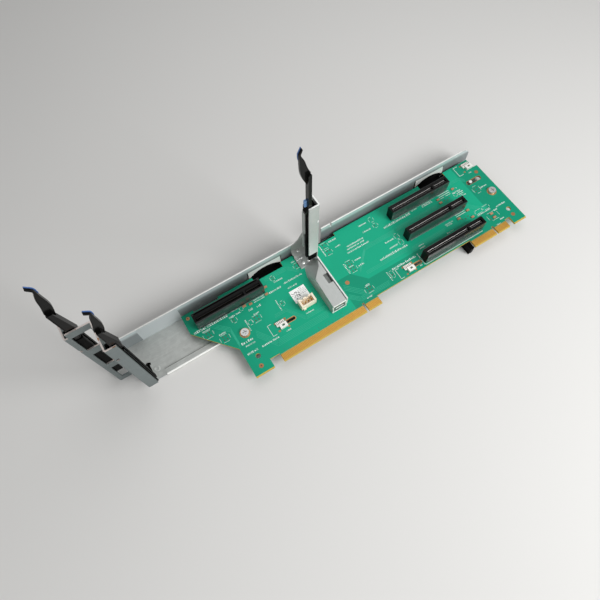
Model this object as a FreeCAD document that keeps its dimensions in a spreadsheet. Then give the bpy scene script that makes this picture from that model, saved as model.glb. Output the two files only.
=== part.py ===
import FreeCAD, Part
import math
import os
import types
import Sketcher

# Server riser card on its sheet-metal tray, with card guides and latch levers.
# Lengths are millimetres. Places are counted from the board's datum: the left end
# of the main edge tongue, on the board's lower edge, at the top face of the board.
# X runs along the tongues, Y towards the back flange and Z up, away from the board.

sizes = {
    # circuit board outline
    "board_thickness": 1.6,
    "board_depth": 70.15,
    "long_tongue": 71.65,
    "short_tongue": 11.65,
    "small_tongue": 21.65,
    "key_gap": 1.9,
    "key_depth": 7.6,
    "tongue_depth": 7.2,
    "tongue_spacing": 89.2,
    "edge_bevel": 0.9,
    "edge_bevel_drop": 0.45,
    "left_foot_inner": 7.9,
    "left_foot_outer": 22.9,
    "slope_front": 25.0,
    "wing_reach": 48.0,
    "wing_front": 54.0,
    "right_foot_gap": 4.8,
    "right_foot_width": 11.6,
    "corner_width": 4.1,
    "corner_depth": 9.0,
    "arch_notch": 4.2,
    "arch_margin": 2.2,
    "centre_notch_gap": 2.2,
    "centre_notch_width": 22.0,
    "centre_notch_depth": 2.5,
    # holes in the board
    "hole_radius": 1.9,
    "hole_row": 13.6,
    "left_hole_reach": 14.0,
    "right_hole_inset": 6.7,
    "screw_row": 33.9,
    "left_screw_reach": 13.6,
    "right_screw_inset": 6.9,
    "hook_slot_width": 2.4,
    "hook_slot_length": 6.6,
    "keyhole_row": 50.2,
    "keyhole_width": 3.6,
    "keyhole_length": 14.0,
    "keyhole_inset": 5.4,
    # gold pads on the tongues
    "finger_pitch": 1.0,
    "finger_width": 0.7,
    "finger_length": 5.2,
    "plating": 0.05,
    # card slots
    "slot_length": 56.0,
    "slot_width": 6.7,
    "slot_height": 11.25,
    "slot_groove": 1.8,
    "groove_depth": 8.4,
    "groove_end": 1.7,
    "groove_lead": 0.9,
    "key_rib": 1.7,
    "key_rib_inset": 14.5,
    "contact_pitch": 1.0,
    "contact_width": 0.5,
    "contact_depth": 0.3,
    "contact_drop": 1.4,
    "right_slot_start": 132.5,
    "front_slot_row": 12.9,
    "slot_pitch": 22.55,
    "storage_slot_reach": 41.0,
    "storage_slot_inset": 12.8,
    "storage_shelf": 1.85,
    "storage_channel_inset": 0.3,
    "storage_channel_width": 0.8,
    "storage_channel_depth": 1.4,
    "storage_notch_reach": 38.0,
    "storage_notch_width": 20.7,
    "storage_notch_depth": 1.6,
    # tray
    "sheet": 1.0,
    "bend": 0.4,
    "board_gap": 6.4,
    "tray_front": 11.0,
    "tray_main_reach": 20.0,
    "tray_wing_front": 39.6,
    "tray_inset": 4.0,
    "flange_gap": 2.45,
    "flange_reach": 93.0,
    "flange_overhang": 4.1,
    "flange_inset": 1.0,
    "flange_top": 11.4,
    "flange_corner": 9.0,
    "flange_break_length": 14.2,
    "flange_slit_inset": 8.4,
    "flange_slit_width": 1.2,
    "flange_slit_depth": 4.0,
    "hem_width": 4.0,
    "hem_start_inset": 13.0,
    "hem_end_inset": 6.0,
    "left_arch_start": 10.2,
    "right_arch_start": 168.6,
    "arch_width": 30.0,
    "arch_slit": 0.9,
    "arch_top": 5.4,
    "arch_rise": 5.0,
    "arch_foot": -2.4,
    "arch_lean": 1.3,
    "corner_floor_inset": 3.0,
    "boss_radius": 2.8,
    "stud_radius": 1.4,
    "stud_inset": 16.0,
    "stud_height": 0.9,
    "tab_front": 42.0,
    "tab_width": 10.0,
    "tab_height": 12.0,
    "floor_slot_inset": 2.9,
    "floor_slot_width": 1.8,
    "floor_slot_front": 44.5,
    "floor_slot_length": 10.0,
    "hole_room": 1.6,
    # end bracket
    "ladder_width": 18.5,
    "ladder_inset": 4.15,
    "side_depth": 10.8,
    "side_drop": 5.0,
    "side_step": 2.8,
    "bracket_top": 85.0,
    "plate_inset": 2.95,
    "plate_width": 6.5,
    "plate_bottom": 4.4,
    "window_left": 3.8,
    "window_right": 3.0,
    "window_count": 3.0,
    "ladder_bar": 7.8,
    "ladder_head": 6.5,
    "ladder_foot": 5.4,
    "snap_level": 58.0,
    "plate_snap_level": 67.0,
    "snap_width": 1.8,
    "snap_height": 2.8,
    # centre bracket
    "arm_width": 12.5,
    "arm_gap": 0.5,
    "arm_front": 12.8,
    "arm_back_inset": 14.6,
    "arm_height": 8.4,
    "arm_draft": 1.1,
    "arm_ramp": 10.0,
    "arm_ramp_side": 18.5,
    "arm_window_front": 31.5,
    "arm_window_length": 8.6,
    "arm_window_width": 3.8,
    "foot_back_inset": 7.2,
    "gusset_low": 3.2,
    "gusset_edge": 11.4,
    "gusset_top": 24.0,
    "rivet_radius": 1.5,
    "rivet_height": 0.8,
    "foot_rivet_inset": 1.85,
    "slope_rivet_inset": 2.4,
    # centre upright
    "upright_right": 62.8,
    "upright_width": 8.2,
    "upright_inset": 3.15,
    "upright_depth": 9.1,
    "upright_top": 78.0,
    "upright_bottom": 18.5,
    "rear_wall_bottom": 20.0,
    "rear_wall_drop": 12.0,
    "rail_front": 14.0,
    "rail_top": 9.4,
    # card guides, levers and pivots
    "card_groove": 1.9,
    "card_groove_depth": 3.6,
    "guide_rear_width": 7.4,
    "guide_rear_depth": 6.4,
    "guide_rear_bottom": 6.4,
    "guide_front_width": 7.3,
    "guide_front_depth": 5.2,
    "front_cheek_depth": 5.9,
    "guide_front_bottom": 4.6,
    "guide_centre_width": 7.0,
    "guide_centre_depth": 5.2,
    "guide_centre_lift": 1.0,
    "cheek_height": 2.4,
    "lever_gap": 0.5,
    "lever_thickness": 3.4,
    "lever_boss": 2.3,
    "lever_nose": 3.6,
    "leaf_thickness": 1.6,
    "touch_thickness": 0.35,
    "touch_depth": 0.45,
    "pin_radius": 1.0,
    "running_gap": 0.05,
    "rear_pivot_inset": 5.0,
    "rear_pivot_drop": 10.0,
    "rear_stem_width": 3.3,
    "rear_root_reach": 4.3,
    "rear_stem_length": 32.3,
    "rear_leaf_start": 25.0,
    "rear_leaf_length": 33.8,
    "rear_leaf_reach": 4.6,
    "rear_leaf_lean": 0.2,
    "rear_tip_reach": 1.8,
    "front_pivot_inset": 4.8,
    "front_pivot_drop": 7.0,
    "front_stem_width": 2.6,
    "front_root_reach": 4.2,
    "front_stem_length": 26.0,
    "front_leaf_start": 19.0,
    "front_leaf_length": 28.0,
    "front_leaf_reach": 4.4,
    "front_leaf_lean": 0.2,
    "front_tip_reach": 1.4,
    "centre_pivot_inset": 5.6,
    "centre_pivot_drop": 6.0,
    "centre_stem_width": 2.4,
    "centre_root_reach": 1.2,
    "centre_stem_length": 37.6,
    "centre_leaf_start": 28.4,
    "centre_leaf_length": 32.4,
    "centre_leaf_reach": 4.8,
    "centre_leaf_lean": 1.6,
    "centre_tip_reach": 2.4,
    "tab_thickness": 1.7,
    "tab_length": 6.0,
    # screws, clips, header and small parts
    "screw_radius": 1.5,
    "screw_clearance": 0.2,
    "screw_head_radius": 3.0,
    "screw_head_height": 1.9,
    "clip_length": 7.6,
    "clip_width": 6.6,
    "clip_height": 2.2,
    "clip_shelf": 1.2,
    "clip_hole": 2.2,
    "left_clip_place": 12.4,
    "left_clip_row": 25.0,
    "right_clip_place": 119.2,
    "right_clip_row": 12.8,
    "corner_clip_inset": 8.6,
    "corner_clip_back": 5.75,
    "foot_block_width": 3.7,
    "foot_block_front": 0.6,
    "foot_block_gap": 0.3,
    "header_place": 31.0,
    "header_row": 26.4,
    "header_length": 12.6,
    "header_width": 6.6,
    "header_height": 6.5,
    "header_wall": 1.0,
    "header_floor": 1.6,
    "header_pin": 0.64,
    "header_pitch": 2.5,
    "chip_length": 2.6,
    "chip_width": 1.5,
    "chip_height": 0.9,
}

doc = FreeCAD.newDocument("riser_card")
sheet = doc.addObject("Spreadsheet::Sheet", "Sizes")
for row, (alias, number) in enumerate(sizes.items(), start=1):
    sheet.set(f"A{row}", alias)
    sheet.set(f"B{row}", str(number))
    sheet.setAlias(f"B{row}", alias)
doc.recompute()


class Dim:
    """A length: its number now, and the expression on the sheet that gives it."""

    def __init__(self, number, text):
        self.number = number
        self.text = text

    def __add__(self, other):
        other = dim(other)
        return Dim(self.number + other.number, f"({self.text} + {other.text})")

    def __sub__(self, other):
        other = dim(other)
        return Dim(self.number - other.number, f"({self.text} - {other.text})")

    def __mul__(self, other):
        other = dim(other)
        return Dim(self.number * other.number, f"({self.text} * {other.text})")

    def __truediv__(self, other):
        other = dim(other)
        return Dim(self.number / other.number, f"({self.text} / {other.text})")

    def __radd__(self, other):
        return dim(other) + self

    def __rsub__(self, other):
        return dim(other) - self

    def __rmul__(self, other):
        return dim(other) * self

    def __neg__(self):
        return 0 - self


def dim(value):
    """A plain number as a Dim, or the Dim itself."""
    if isinstance(value, Dim):
        return value
    return Dim(float(value), f"({float(value)})")


s = types.SimpleNamespace()
for alias in sizes:
    setattr(s, alias, Dim(float(sheet.get(alias)), f"Sizes.{alias}"))

# Places that several pieces share
main_end = s.long_tongue + s.key_gap + s.short_tongue
small_start = main_end + s.tongue_spacing
small_end = small_start + s.small_tongue + s.key_gap + s.short_tongue
right_foot = small_end + s.right_foot_gap
board_right = right_foot + s.right_foot_width
board_under = -s.board_thickness
floor_top = board_under - s.board_gap
floor_under = floor_top - s.sheet
tray_right = board_right - s.tray_inset
flange_face = s.board_depth + s.flange_gap
flange_back = flange_face + s.sheet
screw_places = [-s.left_screw_reach, board_right - s.right_screw_inset]
hole_places = [-s.left_hole_reach, board_right - s.right_hole_inset]
clip_places = [
    (s.left_clip_place, s.left_clip_row),
    (s.right_clip_place, s.right_clip_row),
    (board_right - s.corner_clip_inset, s.board_depth - s.corner_clip_back),
]
wall_x = s.flange_overhang - s.flange_reach
ladder_left = wall_x - s.ladder_width
middle_row = s.front_slot_row + s.slot_pitch
storage_row = s.board_depth - s.storage_slot_inset
ladder_row = storage_row - s.ladder_inset
plate_row = middle_row - s.plate_inset
web_left = s.upright_right - s.sheet
upright_left = s.upright_right - s.upright_width
upright_row = storage_row - s.upright_inset
arm_right = web_left - s.arm_gap
arm_left = arm_right - s.arm_width
arm_back = flange_face - s.arm_back_inset
foot_back = flange_face - s.foot_back_inset

# The part's own origin is the bottom centre of its box, so every place is moved by this.
shift = (-(ladder_left + board_right) / 2, -flange_back / 2, -floor_under)

axis_turns = {
    "x": FreeCAD.Rotation(FreeCAD.Vector(0, 1, 0), 90),
    "y": FreeCAD.Rotation(FreeCAD.Vector(1, 0, 0), -90),
    "z": FreeCAD.Rotation(),
}
plane_turns = {
    "xy": FreeCAD.Rotation(),
    "xz": FreeCAD.Rotation(FreeCAD.Vector(1, 0, 0), 90),
    "yz": FreeCAD.Rotation(FreeCAD.Vector(1, 1, 1), 120),
}
nodes = []


def place(obj, x, y, z):
    """Ties an object's position to board places, moved to the part's origin."""
    for letter, at, move in zip("xyz", (x, y, z), shift):
        obj.setExpression(f"Placement.Base.{letter}", (dim(at) + move).text)


def box(name, x0, x1, y0, y1, z0, z1):
    obj = doc.addObject("Part::Box", name)
    obj.setExpression("Length", (dim(x1) - x0).text)
    obj.setExpression("Width", (dim(y1) - y0).text)
    obj.setExpression("Height", (dim(z1) - z0).text)
    place(obj, x0, y0, z0)
    return obj


def rod(name, axis, radius, start, length):
    """A cylinder that runs along an axis from its start point."""
    obj = doc.addObject("Part::Cylinder", name)
    obj.setExpression("Radius", dim(radius).text)
    obj.setExpression("Height", dim(length).text)
    obj.Placement = FreeCAD.Placement(FreeCAD.Vector(), axis_turns[axis])
    place(obj, *start)
    return obj


def stub(name, axis, low_radius, high_radius, start, length):
    """A tapered round head."""
    obj = doc.addObject("Part::Cone", name)
    obj.setExpression("Radius1", dim(low_radius).text)
    obj.setExpression("Radius2", dim(high_radius).text)
    obj.setExpression("Height", dim(length).text)
    obj.Placement = FreeCAD.Placement(FreeCAD.Vector(), axis_turns[axis])
    place(obj, *start)
    return obj


def toward(point, other):
    """Unit step along X or Y from one corner of a square outline to the next."""
    dx = dim(other[0]).number - dim(point[0]).number
    dy = dim(other[1]).number - dim(point[1]).number
    if abs(dx) > abs(dy):
        return (math.copysign(1, dx), 0.0)
    return (0.0, math.copysign(1, dy))


def vector(point):
    return FreeCAD.Vector(dim(point[0]).number, dim(point[1]).number, 0)


def pin_point(sketch, geometry, end, point):
    """Ties one end, or the centre, of a sketch curve to its place."""
    for kind, value in zip(("DistanceX", "DistanceY"), point):
        value = dim(value)
        rule = sketch.addConstraint(Sketcher.Constraint(kind, -1, 1, geometry, end, value.number))
        sketch.setExpression(f"Constraints[{rule}]", value.text)


def draw_outline(sketch, corners):
    """Draws a closed outline. A corner is (x, y) or, where sheet is bent, (x, y, radius)."""
    runs = []
    count = len(corners)
    for index, corner in enumerate(corners):
        if len(corner) == 2:
            runs.append((corner, corner, None))
            continue
        radius = dim(corner[2])
        back = toward(corner, corners[index - 1])
        ahead = toward(corner, corners[(index + 1) % count])
        first = (corner[0] + radius * back[0], corner[1] + radius * back[1])
        last = (corner[0] + radius * ahead[0], corner[1] + radius * ahead[1])
        middle = (first[0] + radius * ahead[0], first[1] + radius * ahead[1])
        runs.append((first, last, (middle, radius)))
    for index, (first, last, bend) in enumerate(runs):
        following = runs[(index + 1) % count][0]
        if bend:
            middle, radius = bend
            start = vector(first) - vector(middle)
            end = vector(last) - vector(middle)
            turn = start.x * end.y - start.y * end.x
            angles = [math.atan2(start.y, start.x), math.atan2(end.y, end.x)]
            if turn < 0:
                angles.reverse()
            circle = Part.Circle(vector(middle), FreeCAD.Vector(0, 0, 1), radius.number)
            arc = sketch.addGeometry(Part.ArcOfCircle(circle, *angles), False)
            ends = (1, 2) if turn > 0 else (2, 1)
            pin_point(sketch, arc, ends[0], first)
            pin_point(sketch, arc, ends[1], last)
        line = sketch.addGeometry(Part.LineSegment(vector(last), vector(following)), False)
        pin_point(sketch, line, 1, last)
        pin_point(sketch, line, 2, following)


def outline_body(name, plane, corners, x, y, z):
    """A body with one sketch, turned so that the sketch lies in the named plane."""
    body = doc.addObject("PartDesign::Body", name)
    body.Placement = FreeCAD.Placement(FreeCAD.Vector(), plane_turns[plane])
    place(body, x, y, z)
    sketch = body.newObject("Sketcher::SketchObject", f"{name}_outline")
    base = [item for item in body.Origin.OriginFeatures if item.Role == "XY_Plane"][0]
    sketch.AttachmentSupport = (base, [""])
    sketch.MapMode = "FlatFace"
    draw_outline(sketch, corners)
    return body, sketch


def prism(name, plane, corners, start, length):
    """Pads an outline along the axis that its plane leaves free."""
    start, length = dim(start), dim(length)
    ends = {"xy": (0, 0, start), "xz": (0, start + length, 0), "yz": (start, 0, 0)}
    body, sketch = outline_body(name, plane, corners, *ends[plane])
    pad = body.newObject("PartDesign::Pad", f"{name}_pad")
    pad.Profile = sketch
    pad.setExpression("Length", length.text)
    return body


def loft(name, low, low_level, high, high_level):
    """A straight-sided solid between two level outlines with as many corners."""
    body, sketch = outline_body(name, "xy", low, 0, 0, low_level)
    top = body.newObject("Sketcher::SketchObject", f"{name}_top")
    base = [item for item in body.Origin.OriginFeatures if item.Role == "XY_Plane"][0]
    top.AttachmentSupport = (base, [""])
    top.MapMode = "FlatFace"
    top.setExpression("AttachmentOffset.Base.z", (dim(high_level) - low_level).text)
    draw_outline(top, high)
    skin = body.newObject("PartDesign::AdditiveLoft", f"{name}_loft")
    skin.Profile = sketch
    skin.Sections = [top]
    skin.Ruled = True
    return body


def fuse(name, *pieces):
    obj = doc.addObject("Part::MultiFuse", name)
    obj.Shapes = list(pieces)
    obj.Refine = True
    return obj


def cut(name, base, *tools):
    obj = doc.addObject("Part::Cut", name)
    obj.Base = base
    obj.Tool = tools[0] if len(tools) == 1 else fuse(f"{name}_tools", *tools)
    obj.Refine = True
    return obj


def group(name, *pieces):
    """Separate solids that share one node."""
    obj = doc.addObject("Part::Compound", name)
    obj.Links = list(pieces)
    return obj


def solid(name, shape):
    """A shape made with Part's own functions, in board places."""
    obj = doc.addObject("Part::Feature", name)
    obj.Shape = shape
    obj.Placement = FreeCAD.Placement()
    place(obj, 0, 0, 0)
    return obj


def node(label, obj):
    obj.Label = label
    nodes.append(obj)
    return obj


def notch(start, width, depth):
    """Corners of a square notch in the board's back edge, from right to left."""
    back = s.board_depth
    return [(start + width, back), (start + width, back - depth), (start, back - depth), (start, back)]


def circuit_board():
    low, deep = dim(0), s.tongue_depth
    key = [(s.long_tongue, low), (s.long_tongue, s.key_depth),
           (s.long_tongue + s.key_gap, s.key_depth), (s.long_tongue + s.key_gap, low)]
    small_key = small_start + s.small_tongue
    corner = s.board_depth - s.corner_depth
    arch_inner = s.arch_width - 2 * s.arch_margin
    outline = [
        (-s.wing_reach, s.board_depth), (-s.wing_reach, s.wing_front),
        (-s.left_foot_outer, s.slope_front), (-s.left_foot_outer, low),
        (-s.left_foot_inner, low), (-s.left_foot_inner, deep), (low, deep), (low, low),
        *key,
        (main_end, low), (main_end, deep), (small_start, deep), (small_start, low),
        (small_key, low), (small_key, s.key_depth),
        (small_key + s.key_gap, s.key_depth), (small_key + s.key_gap, low),
        (small_end, low), (small_end, deep), (right_foot, deep), (right_foot, low),
        (board_right, low), (board_right, corner), (board_right - s.corner_width, corner),
        (board_right - s.corner_width, s.board_depth),
        *notch(s.right_arch_start + s.arch_margin, arch_inner, s.arch_notch),
        *notch(s.upright_right + s.centre_notch_gap, s.centre_notch_width, s.centre_notch_depth),
        *notch(s.left_arch_start + s.arch_margin, arch_inner, s.arch_notch),
        *notch(-s.storage_notch_reach, s.storage_notch_width, s.storage_notch_depth),
    ]
    blank = prism("board_blank", "xy", outline, board_under, s.board_thickness)
    through = s.board_thickness + 2
    below = board_under - 1
    tools = []
    for index, x in enumerate(hole_places):
        tools.append(rod(f"board_hole_{index}", "z", s.hole_radius, (x, s.hole_row, below), through))
    for index, x in enumerate(screw_places):
        bore = s.screw_radius + s.screw_clearance
        tools.append(rod(f"board_screw_hole_{index}", "z", bore, (x, s.screw_row, below), through))
    half = s.hook_slot_width / 2
    for index, (x, y) in enumerate(clip_places[:2]):
        start = x + s.clip_length / 2
        end = start + s.hook_slot_length
        tools.append(box(f"hook_slot_{index}", start, end, y - half, y + half, below, below + through))
        tools.append(rod(f"hook_slot_end_{index}", "z", half, (end, y, below), through))
    wide = s.keyhole_width / 2
    right = board_right - s.keyhole_inset - wide
    left = right - s.keyhole_length + s.keyhole_width
    row = s.keyhole_row
    tools.append(box("keyhole_run", left, right, row - wide, row + wide, below, below + through))
    for index, x in enumerate((left, right)):
        tools.append(rod(f"keyhole_end_{index}", "z", wide, (x, row, below), through))
    # The lower edge is bevelled on both faces, as edge connectors are.
    edge, drop = s.edge_bevel, s.edge_bevel_drop
    length = s.left_foot_outer + board_right + 2
    top_bevel = [(dim(-1), dim(1)), (dim(-1), -drop), (low, -drop), (edge, low), (edge, dim(1))]
    low_bevel = [(dim(-1), board_under - 1), (edge, board_under - 1), (edge, board_under),
                 (low, board_under + drop), (dim(-1), board_under + drop)]
    tools.append(prism("bevel_top", "yz", top_bevel, -s.left_foot_outer - 1, length))
    tools.append(prism("bevel_low", "yz", low_bevel, -s.left_foot_outer - 1, length))
    node("circuit_board", cut("circuit_board", blank, *tools))


def edge_contacts(label, runs):
    """Gold pads on both faces of a tongue, one row for each run between keys."""
    pads = []
    pitch, width = s.finger_pitch.number, s.finger_width.number
    plating = s.plating.number
    for start, length in runs:
        count = int(length.number / pitch)
        first = start.number + (length.number - (count - 1) * pitch - width) / 2
        for index in range(count):
            for level in (0, board_under.number - plating):
                corner = FreeCAD.Vector(first + index * pitch, s.edge_bevel.number, level)
                pads.append(Part.makeBox(width, s.finger_length.number, plating, corner))
    node(label, solid(label, Part.makeCompound(pads)))


def card_slot(label, start, row, shelf=None):
    """A slot housing with a keyed groove, its two rows of contacts and maybe a shelf at the back."""
    half = s.slot_width / 2
    end = start + s.slot_length
    top = s.slot_height
    body = box(f"{label}_block", start, end, row - half, row + half, 0, top)
    rib = end - s.key_rib_inset
    runs = [(start + s.groove_end, rib - s.key_rib / 2), (rib + s.key_rib / 2, end - s.groove_end)]
    tools = []
    lip = s.slot_groove / 2
    lead = lip + s.groove_lead
    for index, (first, last) in enumerate(runs):
        floor = top - s.groove_depth
        tools.append(box(f"{label}_groove_{index}", first, last, row - lip, row + lip, floor, top + 1))
        wedge = [(row - lead, top + 1), (row - lead, top), (row - lip, top - s.groove_lead),
                 (row + lip, top - s.groove_lead), (row + lead, top), (row + lead, top + 1)]
        tools.append(prism(f"{label}_lead_{index}", "yz", wedge, first, last - first))
    housing = cut(f"{label}_housing" if shelf else label, body, *tools)
    if shelf:
        back = row + half
        channel = back + s.storage_channel_inset
        rim = cut(f"{label}_shelf", box(f"{label}_shelf_block", start, end, back, back + shelf, 0, top),
                  box(f"{label}_channel", start + s.groove_end, end - s.groove_end, channel,
                      channel + s.storage_channel_width, top - s.storage_channel_depth, top + 1))
        housing = fuse(label, housing, rim)
    node(label, housing)
    rows = []
    pitch, width = s.contact_pitch.number, s.contact_width.number
    thick = s.contact_depth.number
    low = top.number - s.groove_depth.number
    height = s.groove_depth.number - s.contact_drop.number
    for first, last in runs:
        count = int((last.number - first.number) / pitch)
        begin = (first.number + last.number - (count - 1) * pitch - width) / 2
        for index in range(count):
            for y in (row.number - lip.number, row.number + lip.number - thick):
                corner = FreeCAD.Vector(begin + index * pitch, y, low)
                rows.append(Part.makeBox(width, thick, height, corner))
    contacts = f"{label}_contacts"
    node(contacts, solid(contacts, Part.makeCompound(rows)))


def arch_tab(index, start):
    """A leaning tab of the flange between two slits, with an arched lower edge."""
    foot, top, lean = s.arch_foot, s.arch_top, s.arch_lean
    section = [(flange_face - lean, foot), (flange_back - lean, foot), (flange_back, top), (flange_face, top)]
    blank = prism(f"arch_blank_{index}", "yz", section, start + s.arch_slit, s.arch_width - 2 * s.arch_slit)
    chord = s.arch_width / 2 - s.arch_slit
    radius = (chord * chord + s.arch_rise * s.arch_rise) / (2 * s.arch_rise)
    centre = (start + s.arch_width / 2, flange_face - lean - 1, foot + s.arch_rise - radius)
    through = lean + s.sheet + 2
    return cut(f"arch_tab_{index}", blank, rod(f"arch_round_{index}", "y", radius, centre, through))


def tray():
    over, under = floor_top, floor_under
    left = wall_x
    hem_start, hem_end = left + s.hem_start_inset, -s.tray_main_reach - s.hem_end_inset
    floors = [
        box("floor_main", -s.tray_main_reach, tray_right, s.tray_front, flange_back, under, over),
        box("floor_wing", left, -s.tray_main_reach, s.tray_wing_front, flange_back, under, over),
        box("floor_corner", -s.flange_reach, left, ladder_row + s.corner_floor_inset, flange_back,
            under, over),
        box("floor_tab", left, left + s.sheet, s.tab_front, s.tab_front + s.tab_width, under,
            under + s.tab_height),
        box("hem_strip", hem_start, hem_end, s.tray_wing_front, s.tray_wing_front + s.hem_width,
            over, over + s.sheet),
        rod("hem_round", "x", s.sheet, (hem_start, s.tray_wing_front, over), hem_end - hem_start),
    ]
    for index, x in enumerate(screw_places):
        floors.append(rod(f"boss_{index}", "z", s.boss_radius, (x, s.screw_row, under), board_under - under))
    stud_x = board_right - s.stud_inset
    floors.append(rod("stud", "z", s.stud_radius, (stud_x, s.keyhole_row, under), s.stud_height - under))
    flange_right = board_right - s.flange_inset
    round_x, round_z = flange_right - s.flange_corner, s.flange_top - s.flange_corner
    turns = [math.radians(angle) for angle in (0, 22.5, 45, 67.5, 90)]
    end = [(round_x + s.flange_corner * math.cos(turn), round_z + s.flange_corner * math.sin(turn))
           for turn in turns]
    outline = [(-s.flange_reach, under), (flange_right, under), *end, (-s.flange_reach, s.flange_top)]
    flange = prism("flange_blank", "xz", outline, flange_face, s.sheet)
    break_end = s.upright_right + s.flange_break_length
    slit = break_end + s.flange_slit_inset
    tools = [
        box("flange_break", s.upright_right, break_end, flange_face - 1, flange_back + 1, over, s.flange_top + 1),
        box("flange_slit", slit, slit + s.flange_slit_width, flange_face - 1, flange_back + 1,
            s.flange_top - s.flange_slit_depth, s.flange_top + 1),
    ]
    arches = []
    floor_tools = []
    for index, start in enumerate((s.left_arch_start, s.right_arch_start)):
        end = start + s.arch_width
        tools.append(box(f"arch_room_{index}", start, end, flange_face - 1, flange_back + 1,
                         over, s.arch_top))
        arches.append(arch_tab(index, start))
    for index, x in enumerate(hole_places):
        room = s.hole_radius + s.hole_room
        floor_tools.append(box(f"hole_room_{index}", x - room, x + room, s.tray_front - 1, s.hole_row + room,
                               under - 1, over + 1))
    slot = left + s.floor_slot_inset
    floor_tools.append(box("floor_slot", slot, slot + s.floor_slot_width, s.floor_slot_front,
                           s.floor_slot_front + s.floor_slot_length, under - 1, over + 1))
    for index, x in enumerate(screw_places):
        floor_tools.append(rod(f"boss_bore_{index}", "z", s.screw_radius, (x, s.screw_row, under - 1),
                               board_under - under + 2))
    floor = cut("tray_floor", fuse("tray_floor_blank", *floors), *floor_tools)
    node("tray", fuse("tray", floor, cut("tray_flange", flange, *tools), *arches))


def end_bracket():
    """One sheet folded in steps: side wall, ladder face, inner wall and front plate."""
    t, r = s.sheet, s.bend
    left, wall = ladder_left, wall_x
    ladder, plate = ladder_row, plate_row
    outer = r + t
    plate_end = wall + s.plate_width
    outline = [
        (left, ladder, outer), (wall - t, ladder, r), (wall - t, plate, outer), (plate_end, plate),
        (plate_end, plate + t), (wall, plate + t, r), (wall, ladder + t, outer),
        (left + t, ladder + t, r), (left + t, ladder + s.side_depth), (left, ladder + s.side_depth),
    ]
    blank = prism("end_blank", "xy", outline, floor_under, s.bracket_top - floor_under)
    tools = [
        box("plate_tail", wall - 2 * t, plate_end + 1, plate - 1, s.tab_front - 1,
            floor_under - 1, s.plate_bottom),
        box("side_head", left - 1, left + s.side_step, ladder - 1, ladder + s.side_depth + 1,
            s.bracket_top - s.side_drop, s.bracket_top + 1),
    ]
    span = s.bracket_top - s.ladder_head - floor_under - s.ladder_foot
    tall = (span - (s.window_count - 1) * s.ladder_bar) / s.window_count
    for index in range(int(s.window_count.number)):
        base = floor_under + s.ladder_foot + index * (tall + s.ladder_bar)
        tools.append(box(f"ladder_window_{index}", left + s.window_left, wall - s.window_right,
                         ladder - 1, ladder + t + 1, base, base + tall))
    level = s.snap_level
    tools.append(box("ladder_snap", left - 1, left + s.snap_width, ladder - 1, ladder + 2 * t,
                     level, level + s.snap_height))
    level = s.plate_snap_level
    tools.append(box("plate_snap", wall, wall + s.snap_width, plate - 1, plate + t + 1,
                     level, level + s.snap_height))
    node("end_bracket", cut("end_bracket", blank, *tools))


def centre_bracket():
    """Pressed arm on the board, its foot, and the gusset that stands at the flange."""
    t = s.sheet
    low = dim(0)

    def arm(name, inset, level):
        left, right = arm_left + inset, arm_right - inset
        front, back = s.arm_front + inset, arm_back - inset
        draft, ramp, side = s.arm_draft, s.arm_ramp, s.arm_ramp_side
        bottom = [(left, front), (right, front), (right, back), (left + draft * 3, back), (left, back - ramp)]
        top = [(left + draft, front + draft), (right, front + draft), (right, back - ramp / 2),
               (right - draft * 2, back - ramp), (left + draft * 2, back - side)]
        return loft(name, bottom, low, top, level)

    shell = cut("arm_shell", arm("arm_outside", dim(0), s.arm_height), arm("arm_inside", t, s.arm_height - t))
    window = box("arm_window", arm_right - s.arm_window_width, arm_right + 1, s.arm_window_front,
                 s.arm_window_front + s.arm_window_length, s.arm_height - 2 * t, s.arm_height + 1)
    heel = arm_back - 2 * t
    foot = [(heel, low), (foot_back, low), (flange_face, s.gusset_low), (flange_face, s.gusset_low + t),
            (flange_face - t / 2, s.gusset_low + t), (foot_back - t / 4, t), (heel, t)]
    width = s.arm_width
    plate = prism("bracket_foot", "yz", foot, arm_left, width)
    rise = s.gusset_top - s.gusset_edge
    curve = [(0.05, 0.0), (0.3, 0.1), (0.52, 0.26), (0.74, 0.62), (1.0, 0.98)]
    edge = [(arm_left + width * across, s.gusset_edge + rise * up) for across, up in curve]
    gusset = prism("bracket_gusset", "xz", [(arm_right, s.gusset_low), *reversed(edge),
                                            (arm_left, s.gusset_low)], flange_face - t, t)
    # Rivet heads are one with the bracket: two on the foot, one on the slope.
    heads = []
    row = arm_back + s.foot_rivet_inset
    slope = flange_face - s.slope_rivet_inset
    for index, (share, y, base) in enumerate(((0.3, row, t), (0.7, row, t), (0.42, slope, s.gusset_low))):
        spot = (arm_left + width * share, y, base - t / 4)
        heads.append(stub(f"rivet_{index}", "z", s.rivet_radius, s.rivet_radius * 0.55, spot,
                          s.rivet_height + t / 4))
    node("centre_bracket", fuse("centre_bracket", cut("arm_pressed", shell, window), plate, gusset, *heads))


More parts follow.
